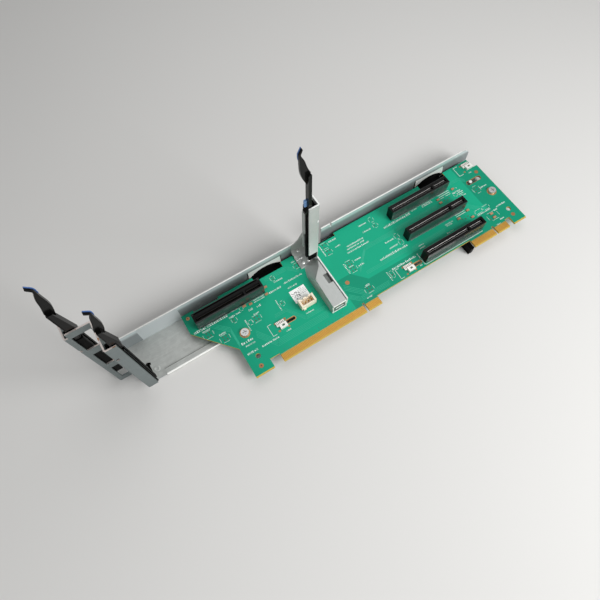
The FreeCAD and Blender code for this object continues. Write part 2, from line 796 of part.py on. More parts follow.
def centre_upright():
    """A channel round the centre guide, with a low rail that runs forward beside the arm."""
    t, r = s.sheet, s.bend
    front, back = upright_row, upright_row + s.upright_depth
    right, inner = s.upright_right, web_left
    outer = r + t
    rear_top = s.upright_top - s.rear_wall_drop
    outline = [
        (upright_left, front), (right, front, outer), (right, back, outer), (upright_left, back),
        (upright_left, back - t), (inner, back - t, r), (inner, front + t, r), (upright_left, front + t),
    ]
    blank = prism("upright_blank", "xy", outline, 0, s.upright_top)
    past = s.upright_top + 1
    tools = [
        box("front_wall_gap", upright_left - 1, inner, front - 1, front + 2 * t, -1, s.upright_bottom),
        box("rear_wall_head", upright_left - 1, inner, back - 2 * t, back + 1, rear_top, past),
        box("rear_wall_tail", upright_left - 1, inner, back - 2 * t, back + 1, -1, s.rear_wall_bottom),
        box("upright_snap", right - s.snap_width, right + 1, front - 1, front + 2 * t, s.snap_level,
            s.snap_level + s.snap_height),
    ]
    walls = cut("upright_walls", blank, *tools)
    rail = box("upright_rail", inner, right, s.rail_front, front + outer, 0, s.rail_top)
    stay = box("upright_stay", inner, right, back - outer, flange_face - t, 0, s.rear_wall_bottom)
    spot = (upright_left + s.rivet_radius * 0.9, back - t - s.rivet_height, rear_top - s.rivet_radius)
    rivet = stub("upright_rivet", "y", s.rivet_radius * 0.55, s.rivet_radius * 0.9, spot,
                 s.rivet_height + t / 4)
    node("centre_upright", fuse("centre_upright", walls, rail, stay, rivet))


def guide(label, seat_x, open_x, wall_y, back_y, cheek_back, row, bottom, pivot_x, pivot_level):
    """A card guide in a bracket's corner, with a cheek that carries the lever's pin."""
    side = 1 if open_x.number > seat_x.number else -1
    low_x, high_x = (seat_x, open_x) if side > 0 else (open_x, seat_x)
    shoulder = pivot_level - s.lever_boss - s.lever_gap * 2
    cheek_y = wall_y + s.lever_gap * 2 + s.lever_thickness
    # One corner is bevelled to seat in the inside of the bracket's bend.
    outline = [(seat_x, wall_y + s.bend), (seat_x + side * s.bend, wall_y), (open_x, wall_y),
               (open_x, back_y), (seat_x, back_y)]
    block = prism(f"{label}_block", "xy", outline, bottom, shoulder - bottom)
    cheek = box(f"{label}_cheek", low_x, high_x, cheek_y, cheek_back, shoulder - s.lever_gap * 4,
                pivot_level + s.cheek_height)
    groove_x = open_x - side * s.card_groove_depth
    first, last = (groove_x, open_x + 1) if side > 0 else (open_x - 1, groove_x)
    half = s.card_groove / 2
    groove = box(f"{label}_groove", first, last, row - half, row + half, bottom - 1, shoulder + 1)
    bore = rod(f"{label}_bore", "y", s.pin_radius, (pivot_x, cheek_y - 1, pivot_level),
               cheek_back - cheek_y + 2)
    node(label, cut(label, fuse(f"{label}_body", block, cheek), groove, bore))


def lever(prefix, side, pivot_x, level, wall_y, cheek_back):
    """A latch lever: boss and nose at the pivot, thick stem, thin curved leaf and flared tip.

    Its outlines are drawn from the pivot, across (towards the card) and up. The leaf's
    curves are set out as shares of its reach and of its length above the stem's knee.
    """
    start = getattr(s, f"{prefix}_leaf_start").number
    length = getattr(s, f"{prefix}_leaf_length").number
    shoulder = getattr(s, f"{prefix}_stem_length").number
    reach = getattr(s, f"{prefix}_leaf_reach").number
    lean = getattr(s, f"{prefix}_leaf_lean").number
    flare = getattr(s, f"{prefix}_tip_reach").number / reach
    half = getattr(s, f"{prefix}_stem_width").number / 2
    root_reach = getattr(s, f"{prefix}_root_reach").number
    boss, nose = s.lever_boss.number, s.lever_nose.number
    thick, thin = s.lever_thickness.number, s.leaf_thickness.number
    front = wall_y.number + s.lever_gap.number

    def spot(across, up, y=front):
        return FreeCAD.Vector(pivot_x.number + side * across, y, level.number + up)

    def chain(points):
        return [Part.makeLine(a, b) for a, b in zip(points, points[1:])]

    behind = front + thick - thin

    def leaf_curve(shares):
        points = [spot(reach * across + lean * up, start + length * up, behind) for across, up in shares]
        line = Part.BSplineCurve()
        line.interpolate(points)
        return line, points[0], points[-1]

    # Thick part: round boss, nose above the card's corner, and the stem, which tapers to its shoulder.
    neck = boss + nose
    base = Part.Arc(spot(-boss, 0), spot(0, -boss), spot(boss, 0))
    sides = [spot(boss, 0), spot(nose, 0), spot(nose, boss), spot(root_reach, neck), spot(half, shoulder),
             spot(-half, shoulder), spot(-half, neck), spot(-boss, boss), spot(-boss, 0)]
    stem = Part.Face(Part.Wire([base.toShape(), *chain(sides)])).extrude(FreeCAD.Vector(0, thick, 0))
    # Thin part: the leaf, at the back of the stem.
    slim = half / reach
    rise = (shoulder - start) / length
    inner, root, tip = leaf_curve([(slim, 0.0), (0.52, 0.1), (0.93, 0.32), (1.0, 0.54), (0.98, 0.76),
                                   (0.92, 0.88), (0.35 + 0.6 * flare, 0.955), (flare, 1.0)])
    outer, crest, heel = leaf_curve([(flare - 0.08, 0.97), (0.24 + 0.6 * flare, 0.925), (0.71, 0.86),
                                     (0.48, 0.75), (0.05, 0.5), (-0.42, rise + 0.01)])
    ties = chain([heel, spot(-half, shoulder, behind), spot(-half, start, behind), root])
    plate = Part.Face(Part.Wire([inner.toShape(), Part.makeLine(tip, crest), outer.toShape(), *ties]))
    depth = FreeCAD.Vector(0, thin, 0)
    bore = Part.makeCylinder(s.pin_radius.number + s.running_gap.number, thick + 2, spot(0, 0, front - 1),
                             FreeCAD.Vector(0, 1, 0))
    body = stem.fuse(plate.extrude(depth)).removeSplitter().cut(bore)
    node(f"{prefix}_lever", solid(f"{prefix}_lever", body))
    # The touch strip lies along the inner edge of the leaf near its tip, at the back.
    seam = inner.copy()
    first, last = inner.FirstParameter, inner.LastParameter
    seam.segment(first + (last - first) * 0.72, last)
    foot = seam.value(seam.FirstParameter)
    proud = FreeCAD.Vector(side * s.touch_thickness.number, 0, s.touch_thickness.number)
    rim = seam.toShape()
    rim.translate(proud)
    strip = Part.Wire([seam.toShape(), Part.makeLine(tip, tip + proud), rim,
                       Part.makeLine(foot + proud, foot)])
    strip.translate(FreeCAD.Vector(0, thin - s.touch_depth.number, 0))
    skin = Part.Face(strip).extrude(FreeCAD.Vector(0, s.touch_depth.number, 0))
    node(f"{prefix}_touch", solid(f"{prefix}_touch", skin))
    clear = s.lever_gap / 2
    node(f"{prefix}_pin", rod(f"{prefix}_pin", "y", s.pin_radius, (pivot_x, wall_y + clear, level),
                              cheek_back - wall_y - clear))


def guides_and_levers():
    t = s.sheet
    wall, inside = ladder_row + t, ladder_left + t
    back, pivot = wall + s.guide_rear_depth, inside + s.rear_pivot_inset
    level = s.bracket_top - s.rear_pivot_drop
    guide("rear_end_guide", inside, inside + s.guide_rear_width, wall, back, back, storage_row,
          s.guide_rear_bottom, pivot, level)
    lever("rear", 1, pivot, level, wall, back)
    wall, inside = plate_row + t, wall_x
    back, pivot = wall + s.front_cheek_depth, inside + s.front_pivot_inset
    level = s.bracket_top - s.front_pivot_drop
    guide("front_end_guide", inside, inside + s.guide_front_width, wall, wall + s.guide_front_depth, back,
          middle_row, s.guide_front_bottom, pivot, level)
    lever("front", 1, pivot, level, wall, back)
    wall, inside = upright_row + t, web_left
    back, pivot = upright_row + s.upright_depth - t, inside - s.centre_pivot_inset
    level = s.upright_top - s.centre_pivot_drop
    guide("centre_guide", inside, inside - s.guide_centre_width, wall, wall + s.guide_centre_depth, back,
          storage_row, s.arm_height + s.guide_centre_lift, pivot, level)
    lever("centre", -1, pivot, level, wall, back)
    # A small tab on the centre lever's stem, above its nose.
    edge = pivot - s.centre_stem_width / 2
    rear = wall + s.lever_gap + s.lever_thickness
    low = level + s.lever_boss + s.lever_nose
    node("centre_tab", box("centre_tab", edge - s.tab_thickness, edge, rear - s.leaf_thickness, rear,
                           low, low + s.tab_length))


def board_screws():
    screws = []
    length = board_under - floor_under
    for index, x in enumerate(screw_places):
        shank = rod(f"screw_shank_{index}", "z", s.screw_radius, (x, s.screw_row, floor_under),
                    length + s.board_thickness)
        head = rod(f"screw_head_{index}", "z", s.screw_head_radius, (x, s.screw_row, 0), s.screw_head_height)
        arm, half = s.screw_head_radius * 0.55, s.screw_head_radius * 0.12
        deep, high = s.screw_head_height * 0.4, s.screw_head_height + 1
        row = s.screw_row
        slots = [box(f"screw_slot_a_{index}", x - arm, x + arm, row - half, row + half, deep, high),
                 box(f"screw_slot_b_{index}", x - half, x + half, row - arm, row + arm, deep, high)]
        screws.append(cut(f"screw_{index}", fuse(f"screw_blank_{index}", shank, head), *slots))
    node("board_screws", group("board_screws", *screws))


def grounding_clips():
    clips = []
    for index, (x, y) in enumerate(clip_places):
        half, deep = s.clip_length / 2, s.clip_width / 2
        body = box(f"clip_body_{index}", x - half * 0.55, x + half, y - deep, y + deep * 0.2,
                   0, s.clip_height)
        shelf = box(f"clip_shelf_{index}", x - half, x + half * 0.8, y - deep * 0.1, y + deep,
                    0, s.clip_shelf)
        hole = s.clip_hole / 2
        middle_x, middle_y = x + half * 0.22, y - deep * 0.35
        window = box(f"clip_hole_{index}", middle_x - hole, middle_x + hole, middle_y - hole * 0.7,
                     middle_y + hole * 0.7, -1, s.clip_height + 1)
        clips.append(cut(f"clip_{index}", fuse(f"clip_blank_{index}", body, shelf), window))
    node("grounding_clips", group("grounding_clips", *clips))


def board_foot():
    end = small_start - s.foot_block_gap
    node("board_foot", box("board_foot", end - s.foot_block_width, end, s.foot_block_front,
                           s.tray_front, floor_under, board_under))


def power_header():
    x, y = s.header_place, s.header_row
    wall, top = s.header_wall, s.header_height
    end, back = x + s.header_length, y + s.header_width
    block = box("header_block", x, end, y, back, 0, top)
    room = box("header_room", x + wall, end - wall, y + wall, back - wall, s.header_floor, top + 1)
    slit = box("header_slit", x + wall * 3, end - wall * 3, back - 2 * wall, back + 1, top * 0.55, top + 1)
    node("power_header", cut("power_header", block, room, slit))
    pins = []
    half = s.header_pin / 2
    middle = y + s.header_width / 2
    for index, step in enumerate((-1.5, -0.5, 0.5, 1.5)):
        at = (x + end) / 2 + s.header_pitch * step
        pins.append(box(f"header_pin_{index}", at - half, at + half, middle - half, middle + half,
                        s.header_floor, top * 0.85))
    node("header_pins", group("header_pins", *pins))


def chip_parts():
    """Small soldered parts in the lanes beside the slots.

    Each place is a share of the slots' length from a slot's right end, and of the slots' pitch
    from that slot's row.
    """
    right = s.right_slot_start + s.slot_length, s.front_slot_row
    left = s.slot_length - s.storage_slot_reach, storage_row
    spots = [(right, -0.2375, 1.63), (right, -0.2375, 1.479), (right, 0.057, 1.723), (right, -0.1875, 0.601),
             (right, 0.009, 0.716), (right, -0.002, 0.401), (right, 0.259, 0.149), (right, 0.259, -0.02),
             (left, -0.27, -0.288), (left, -0.357, -0.248), (left, -0.018, -0.262), (left, 0.02, -0.013)]
    chips = []
    for index, ((end, row), along, over) in enumerate(spots):
        x = end + s.slot_length * along
        y = row + s.slot_pitch * over
        chips.append(box(f"chip_{index}", x, x + s.chip_length, y, y + s.chip_width, 0, s.chip_height))
    node("chip_parts", group("chip_parts", *chips))


circuit_board()
edge_contacts("main_edge_contacts", [(dim(0), s.long_tongue), (s.long_tongue + s.key_gap, s.short_tongue)])
edge_contacts("small_edge_contacts", [(small_start, s.small_tongue),
                                      (small_start + s.small_tongue + s.key_gap, s.short_tongue)])
for step, label in enumerate(("card_slot_front", "card_slot_middle", "card_slot_rear")):
    card_slot(label, s.right_slot_start, s.front_slot_row + step * s.slot_pitch)
card_slot("storage_slot", -s.storage_slot_reach, storage_row, s.storage_shelf)
tray()
end_bracket()
centre_bracket()
centre_upright()
guides_and_levers()
board_screws()
grounding_clips()
board_foot()
power_header()
chip_parts()
doc.recompute()

for obj in doc.Objects:
    if "Invalid" in obj.State or "Error" in obj.State:
        raise RuntimeError(f"{obj.Label} did not build: {obj.State}")
for obj in nodes:
    if obj.Shape.isNull() or not obj.Shape.isValid() or not obj.Shape.Solids:
        raise RuntimeError(f"{obj.Label} has no valid solid")

os.makedirs("parts", exist_ok=True)
for obj in nodes:
    obj.Shape.exportStep(f"parts/{obj.Label}.step")
    bounds = obj.Shape.BoundBox
    print(f"{obj.Label}: {len(obj.Shape.Solids)} solids, volume {obj.Shape.Volume:.1f},",
          f"x {bounds.XMin:.1f} {bounds.XMax:.1f} y {bounds.YMin:.1f} {bounds.YMax:.1f}",
          f"z {bounds.ZMin:.1f} {bounds.ZMax:.1f}")
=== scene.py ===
import bpy
import math
import random
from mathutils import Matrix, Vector


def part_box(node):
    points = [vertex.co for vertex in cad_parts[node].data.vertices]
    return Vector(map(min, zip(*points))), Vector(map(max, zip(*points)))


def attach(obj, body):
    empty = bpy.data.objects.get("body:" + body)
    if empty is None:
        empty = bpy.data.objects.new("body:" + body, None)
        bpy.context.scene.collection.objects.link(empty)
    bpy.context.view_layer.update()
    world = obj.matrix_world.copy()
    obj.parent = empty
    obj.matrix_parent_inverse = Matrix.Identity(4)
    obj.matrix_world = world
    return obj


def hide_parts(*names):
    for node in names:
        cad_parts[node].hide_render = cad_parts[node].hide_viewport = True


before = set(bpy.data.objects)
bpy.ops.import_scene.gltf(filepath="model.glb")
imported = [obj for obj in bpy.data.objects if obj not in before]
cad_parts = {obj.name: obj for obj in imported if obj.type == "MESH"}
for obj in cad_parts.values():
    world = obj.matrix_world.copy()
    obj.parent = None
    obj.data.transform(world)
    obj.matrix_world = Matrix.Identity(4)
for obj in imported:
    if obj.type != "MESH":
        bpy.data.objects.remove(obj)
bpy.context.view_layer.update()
print("frame loaded with", len(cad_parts), "nodes")

# the board's own datum: left end of the long tongue, lower edge, top face; places below are in mm from it
datum = {"tongue": 0.048, "sheet": 0.001}
boardLow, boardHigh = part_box("circuit_board")
boardZero = Vector((boardLow.x + datum["tongue"], boardLow.y, boardHigh.z))
boardRight = (boardHigh.x - boardZero.x) * 1000
trayFloor = (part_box("tray")[0].z + datum["sheet"] - boardZero.z) * 1000
# thin layers start a little inside the board
layerFoot = -0.02
rng = random.Random(11)


def onBoard(x, y, z=0.0):
    return boardZero + Vector((x, y, z)) / 1000


# shader maths


def sign(operation, swapped=False):
    def result(self, other):
        first, second = (other, self) if swapped else (self, other)
        return self.make("ShaderNodeMath", {"operation": operation}, {0: first, 1: second})

    return result


class Wire:
    def __init__(self, tree, socket=None):
        self.tree = tree
        self.socket = socket

    def make(self, kind, settings=None, feeds=None, out=0):
        node = self.tree.nodes.new(kind)
        for name, value in (settings or {}).items():
            setattr(node, name, value)
        for name, value in (feeds or {}).items():
            if isinstance(value, Wire):
                self.tree.links.new(value.socket, node.inputs[name])
            else:
                node.inputs[name].default_value = value
        return Wire(self.tree, node.outputs[out])

    __add__, __radd__ = sign("ADD"), sign("ADD", True)
    __sub__, __rsub__ = sign("SUBTRACT"), sign("SUBTRACT", True)
    __mul__ = __and__ = sign("MULTIPLY")
    __truediv__ = sign("DIVIDE")
    __lt__, __gt__ = sign("LESS_THAN"), sign("GREATER_THAN")
    __or__ = sign("MAXIMUM")

    def __abs__(self):
        return sign("ABSOLUTE")(self, 0.0)

    def mixed(self, first, second):
        first, second = (tone if isinstance(tone, Wire) else (*tone, 1.0) for tone in (first, second))
        return self.make("ShaderNodeMix", {"data_type": "RGBA"}, {0: self, 6: first, 7: second}, 2)

    def side(self, vector, axis):
        return self.make("ShaderNodeSeparateXYZ", None, {0: vector}, axis)

    def facing(self, axis):
        return self.side(self.make("ShaderNodeNewGeometry", out="Normal"), axis)

    def ramp(self, value, low, high):
        return self.make("ShaderNodeClamp", None, {"Value": (value - low) / (high - low)})

    def noise(self, point, scale, detail, rough=0.55):
        feeds = {"Vector": point, "Scale": scale, "Detail": detail, "Roughness": rough}
        return self.make("ShaderNodeTexNoise", None, feeds, "Fac")

    def stretched(self, point, scale):
        return self.make("ShaderNodeMapping", None, {"Vector": point, "Scale": scale})

    def bump(self, height, strength, distance):
        feeds = {"Height": height, "Strength": strength, "Distance": distance}
        return self.make("ShaderNodeBump", None, feeds)


def anyOf(wires):
    whole = wires[0]
    for wire in wires[1:]:
        whole = whole | wire
    return whole


def newFinish(name, **constants):
    material = bpy.data.materials.new(name)
    material.use_nodes = True
    tree = material.node_tree
    shader = next(node for node in tree.nodes if node.type == "BSDF_PRINCIPLED")
    for socket, value in constants.items():
        shader.inputs[socket.replace("_", " ")].default_value = value
    wire = Wire(tree)
    point = wire.make("ShaderNodeTexCoord", out="Object")
    return material, shader, wire, point


def feed(shader, **links):
    for socket, value in links.items():
        plug = shader.inputs[socket.replace("_", " ")]
        value.tree.links.new(value.socket, plug)


plasticLook = {"smear": 90.0, "detail": 2.0, "share": 0.7, "uneven": 0.16, "grit": 0.1, "depth": 0.00006}


def plasticLinks(wire, point, dark, light, roughness, grain=2600.0, bumpiness=0.08):
    # fine spark-eroded grain with broad, faint smears
    look = plasticLook
    smear = wire.noise(point, look["smear"], look["detail"])
    fine = wire.noise(point, grain, look["detail"])
    blend = smear * look["share"] + fine * (1 - look["share"])
    links = {
        "Base_Color": blend.mixed(dark, light),
        "Roughness": roughness + (smear - 0.5) * look["uneven"] + (fine - 0.5) * look["grit"],
        "Normal": wire.bump(fine, bumpiness, look["depth"]),
    }
    return smear, links


def moulded(name, dark, light, roughness, shine=0.35, **surface):
    material, shader, wire, point = newFinish(name, Specular_IOR_Level=shine)
    links = plasticLinks(wire, point, dark, light, roughness, **surface)[1]
    feed(shader, **links)
    return material


def boardPlace(wire, point):
    place = wire.make("ShaderNodeVectorMath", {"operation": "SUBTRACT"}, {0: point, 1: boardZero})
    return [wire.side(place, axis) * 1000 for axis in "XY"]


slotLook = {
    "nodes": ("card_slot_front", "card_slot_middle", "card_slot_rear", "storage_slot"),
    # a long wall lies this near its slot's side; below this depth a groove is painted near black as shade
    "near": 0.17, "lip": 0.25, "across": 0.6,
    # the two wall tones are partly dusty haze and partly painted light: the board's green reflection and
    # the front light
    "dark": (0.0025, 0.0025, 0.0025), "light": (0.0075, 0.0075, 0.007), "wearAndPaintedLight": (0.022, 0.028, 0.027),
    "wall": (0.032, 0.040, 0.038), "deep": (0.0006, 0.0006, 0.0006),
    "rough": 0.3, "shine": 0.1, "coat": 1.0, "gloss": 0.12,
}


def slotPlastic(look):
    # dull black tops over deep grooves painted near black as shade; long side walls paler green-grey and
    # glossy, partly dusty haze and partly a painted reflection of the board and the front light
    material, shader, wire, point = newFinish("slotBlack", Specular_IOR_Level=look["shine"],
                                              Coat_Roughness=look["gloss"])
    smear, links = plasticLinks(wire, point, look["dark"], look["light"], look["rough"])
    y = boardPlace(wire, point)[1]
    sides = [(corner.y - boardZero.y) * 1000 for node in look["nodes"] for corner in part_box(node)]
    wall = anyOf([abs(y - side) < look["near"] for side in sides])
    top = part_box("storage_slot")[1].z
    below = wire.side(point, "Z") < top - look["lip"] / 1000
    # painted shade: groove faces below the lip are painted near black
    deep = below & (abs(wire.facing("X")) < look["across"]) & (wall < 0.5)
    # painted light and dust: the long walls take the paler green-grey tones
    walled = wall.mixed(links["Base_Color"], smear.mixed(look["wearAndPaintedLight"], look["wall"]))
    links["Base_Color"] = deep.mixed(walled, look["deep"])
    feed(shader, Coat_Weight=wall * look["coat"], **links)
    return material


steelLook = {
    "patchScale": 38.0, "spangleScale": 420.0, "fleckScale": 260.0,
    # shares in the tone
    "streak": 0.35, "patch": 0.5, "spangle": 0.15,
    "patchRough": 0.18, "spangleRough": 0.06, "bump": 0.05, "depth": 0.00005,
    # normals of front walls and of upward edges, which take painted tones
    "front": -0.6, "upward": 0.7,
    "wallDark": 0.8, "frontLessMetal": 0.35, "rust": (0.62, 0.36, 0.22),
}


def sheetSteel(name, dark, light, roughness, along=(60.0, 1400.0, 1400.0), edge=None, metal=0.85, bands=(),
               wall=None, fade=None, paintedShadeClimb=None):
    # rolled and zinc plated: long streaks, faint spangle and a few dull patches
    look = steelLook
    material, shader, wire, point = newFinish(name, Metallic=metal)
    streak = wire.noise(wire.stretched(point, along), 1.0, 3.0)
    patch = wire.noise(point, look["patchScale"], 4.0)
    cells = {"Vector": point, "Scale": look["spangleScale"]}
    spangle = wire.make("ShaderNodeTexVoronoi", None, cells, "Color")
    spangle = wire.make("ShaderNodeSeparateColor", None, {"Color": spangle}, "Red")
    shade = streak * look["streak"] + patch * look["patch"] + spangle * look["spangle"]
    colour = shade.mixed(dark, light)
    if wall:
        # painted light: faces turned to the front take a tone of their own and less metal, as the front
        # lamps light them
        front = wire.facing("Y") < look["front"]
        tone = shade.mixed([part * look["wallDark"] for part in wall], wall)
        if paintedShadeClimb:
            # painted shade: the face is darker towards its foot, in the board's shadow, and lightens
            # towards its upper edge
            lit = wire.ramp(wire.side(point, "Z"), paintedShadeClimb["from"], paintedShadeClimb["to"])
            tone = lit.mixed(tone, paintedShadeClimb["top"])
        colour = front.mixed(colour, tone)
        feed(shader, Metallic=metal - front * look["frontLessMetal"])
    if fade:
        # painted light: brighter towards the foot
        wearAndPaintedLight = wire.ramp(wire.side(point, "Z"), fade["from"], fade["to"])
        colour = wearAndPaintedLight.mixed(fade["foot"], colour)
    # flat tones over listed areas; on the tray they are painted light and shade
    for left, right, near, far, tone in bands:
        x, y = boardPlace(wire, point)
        inside = (x > left) & (x < right) & (y > near) & (y < far)
        colour = inside.mixed(colour, tone)
    if edge:
        # upward cut edges above a level are bare steel with rusty flecks, painted bright as their highlight
        bareLitEdge = (wire.facing("Z") > look["upward"]) & (wire.side(point, "Z") > edge["above"])
        fleck = wire.noise(point, look["fleckScale"], 2.0) > edge["clean"]
        colour = bareLitEdge.mixed(colour, fleck.mixed(edge["colour"], look["rust"]))
    feed(shader, Base_Color=colour,
         Roughness=roughness + (patch - 0.5) * look["patchRough"] + (spangle - 0.5) * look["spangleRough"],
         Normal=wire.bump(streak, look["bump"], look["depth"]))
    return material


goldLook = {"along": (900.0, 120.0, 900.0), "wear": 160.0, "dark": (0.54, 0.29, 0.055),
            "light": (0.78, 0.46, 0.11), "metal": 0.9, "rough": 0.38, "wornRough": 0.2, "bump": 0.08,
            "depth": 0.00003}


def platedGold(look):
    material, shader, wire, point = newFinish("platedGold", Metallic=look["metal"])
    streak = wire.noise(wire.stretched(point, look["along"]), 1.0, 3.0)
    wearAndPaintedLight = wire.noise(point, look["wear"], 3.0)
    feed(shader, Base_Color=(streak * 0.5 + wearAndPaintedLight * 0.5).mixed(look["dark"], look["light"]),
         Roughness=look["rough"] + wearAndPaintedLight * look["wornRough"],
         Normal=wire.bump(streak, look["bump"], look["depth"]))
    return material


# circuit board

boardLook = {
    "tongues": [(0.0, 85.2), (174.4, 209.6)],
    "tongueTop": 5.6,
    "tongueSide": 0.2,
    "bevelTop": 0.95,
    # hook slots and keyhole: start, end, row, radius, width of the plated rim
    "ringed": [(16.2, 22.8, 25.0, 1.2, 0.55), (123.0, 129.6, 12.8, 1.2, 0.55),
               (208.4, 218.8, 50.2, 1.8, 0.22)],
    "screwLands": [(-13.6, 33.9), (boardRight - 6.9, 33.9)],
    "landRadius": 3.9,
    # bare bays: left end of the two low ones, their tops, the cut corner, and the start of the right one
    "bayLeft": 66.0, "lowTop": 22.0, "cornerTop": 33.0, "cornerAt": 78.0, "slope": 1.1, "rightBay": 204.5,
    # full tone of the copper plane, and the green darkening towards the left end
    "plane": 0.62, "darkensFrom": 12.0, "darkensOver": 60.0, "bayShade": 0.75, "cloud": 0.3, "fine": 0.08,
    "cloudScale": 26.0, "fineScale": 900.0, "weave": (2500.0, 2500.0, 9000.0),
    "green": ((0.004, 0.185, 0.108), (0.010, 0.400, 0.232)), "tongueTone": (0.42, 0.22, 0.045),
    "laminate": ((0.34, 0.27, 0.05), (0.62, 0.41, 0.085)), "plating": (0.50, 0.27, 0.12),
    "platedMetal": 0.8,
    "shine": 0.12, "rough": 0.34, "cloudRough": 0.1, "edgeRough": 0.25, "bump": 0.05, "depth": 0.00004,
}


def solderResist(look):
    material, shader, wire, point = newFinish("solderResist", Specular_IOR_Level=look["shine"])
    x, y = boardPlace(wire, point)

    # copper planes under the resist lighten it; bare laminate bays stay darker
    beyond = x > look["bayLeft"]
    lowBay = (y < look["lowTop"]) & beyond
    cut = y + (x - look["cornerAt"]) * look["slope"]
    cornerBay = (cut < look["cornerTop"]) & (y < look["cornerTop"]) & beyond
    bay = lowBay | cornerBay | (x > look["rightBay"])
    cloud = wire.noise(point, look["cloudScale"], 3.0)
    fine = wire.noise(point, look["fineScale"], 2.0)
    leftDarkening = (look["darkensFrom"] - x) / look["darkensOver"] | 0.0
    plane = (1 - bay * look["bayShade"]) * (look["plane"] - leftDarkening * look["plane"])
    plane = plane + cloud * look["cloud"] + fine * look["fine"]
    green = plane.mixed(*look["green"])

    side = look["tongueSide"]
    tongue = anyOf([(x > start - side) & (x < end + side) & (y < look["tongueTop"])
                    for start, end in look["tongues"]])
    colour = tongue.mixed(green, look["tongueTone"])
    edge = (abs(wire.facing("Z")) < 0.5) | (y < look["bevelTop"])
    weave = wire.noise(wire.stretched(point, look["weave"]), 1.0, 2.0)
    colour = edge.mixed(colour, weave.mixed(*look["laminate"]))

    # plated rims of the hook slots and the keyhole, and the lands under the screws
    rims = []
    for start, end, row, radius, plating in look["ringed"]:
        beside = abs(x - (start + end) / 2) - (end - start) / 2 | 0.0
        across = y - row
        rims.append(beside * beside + across * across < (radius + plating) ** 2)
    for left, row in look["screwLands"]:
        across, along = y - row, x - left
        rims.append(along * along + across * across < look["landRadius"] ** 2)
    plated = anyOf(rims)
    colour = plated.mixed(colour, look["plating"])
    feed(shader, Base_Color=colour, Metallic=plated * look["platedMetal"],
         Roughness=look["rough"] + cloud * look["cloudRough"] + edge * look["edgeRough"],
         Normal=wire.bump(fine, look["bump"], look["depth"]))
    return material


# camera

cameraLook = {"place": (-0.09661, -0.12889, 0.34534), "turn": (23.391, 1.006, -31.724), "lens": 29.322,
              "sensor": 36.0, "near": 0.01}


def setCamera(look):
    bpy.ops.object.camera_add(location=look["place"], rotation=[math.radians(a) for a in look["turn"]])
    camera = bpy.context.object
    camera.data.sensor_width = look["sensor"]
    camera.data.lens = look["lens"]
    camera.data.clip_start = look["near"]
    bpy.context.scene.camera = camera


# modelling by hand; a face looks squarely along an axis from this part of its normal on

squarely = 0.9


def setMode(mode):
    bpy.ops.object.mode_set(mode=mode)


def deselect():
    if bpy.context.mode != "OBJECT":
        setMode("OBJECT")
    bpy.ops.object.select_all(action="DESELECT")


def openPiece():
    deselect()
    bpy.ops.object.add(type="MESH", enter_editmode=True, location=(0, 0, 0))


def slab(x0, x1, y0, y1, z0, z1, turn=0.0, tilt=0.0):
    middle = onBoard((x0 + x1) / 2, (y0 + y1) / 2, (z0 + z1) / 2)
    size = ((x1 - x0) / 1000, (y1 - y0) / 1000, (z1 - z0) / 1000)
    bpy.ops.mesh.primitive_cube_add(size=1, location=middle, rotation=(tilt, 0, turn), scale=size)


def disc(x, y, radius, z0, z1, sides):
    bpy.ops.mesh.primitive_cylinder_add(vertices=sides, radius=radius / 1000, depth=(z1 - z0) / 1000,
                                        location=onBoard(x, y, (z0 + z1) / 2))


def closePiece(name, finish, body="frame"):
    setMode("OBJECT")
    piece = bpy.context.object
    piece.name = name
    piece.data.name = name
    piece.data.materials.clear()
    piece.data.materials.append(finishes[finish])
    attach(piece, body)
    print(name, len(piece.data.polygons), "faces")
    return piece


def pickFaces(test):
    # runs in edit mode; the test sees a face's middle and its normal
    bpy.ops.mesh.select_all(action="DESELECT")
    setMode("OBJECT")
    for polygon in bpy.context.object.data.polygons:
        polygon.select = bool(test(polygon.center, polygon.normal))
    setMode("EDIT")
    bpy.ops.mesh.select_mode(type="FACE")


def pickFacing(axis, way=1):
    pickFaces(lambda middle, normal: way * normal["xyz".index(axis)] > squarely)


def pickAll():
    bpy.ops.mesh.select_all(action="SELECT")


def squeeze(sides, middle):
    bpy.ops.transform.resize(value=sides, center_override=middle)


def pull(x, y, z):
    # draws out the picked faces, in mm
    bpy.ops.mesh.extrude_region_move(TRANSFORM_OT_translate={"value": (x / 1000, y / 1000, z / 1000)})


def bevelAll(offset, segments=1):
    pickAll()
    bpy.ops.mesh.bevel(offset=offset / 1000, segments=segments, affect="EDGES")


def settle():
    # back to object mode, with the place in the mesh
    setMode("OBJECT")
    bpy.ops.object.transform_apply(location=True, rotation=True, scale=True)


def smooth(degrees):
    bpy.ops.object.shade_smooth_by_angle(angle=math.radians(degrees))


def spread(start, stop, step):
    # how many stand in a row, and where the first one stands
    count = int((stop - start) / step)
    return count, (start + stop - (count - 1) * step) / 2


def copyAlong(count, step):
    piece = bpy.context.object
    line = piece.modifiers.new("row", "ARRAY")
    line.count = count
    line.use_relative_offset = False
    line.use_constant_offset = True
    line.constant_offset_displace = (step, 0, 0)
    bpy.ops.object.modifier_apply(modifier="row")
    return piece


def thicken(piece, name, thickness):
    wall = piece.modifiers.new(name, "SOLIDIFY")
    wall.thickness = thickness / 1000
    wall.offset = 1.0
    bpy.ops.object.modifier_apply(modifier=name)


def joinPieces(pieces):
    deselect()
    for piece in pieces:
        piece.select_set(True)
    bpy.context.view_layer.objects.active = pieces[0]
    bpy.ops.object.join()


# screen print: rows of broken strokes, outlines, brackets and ticks

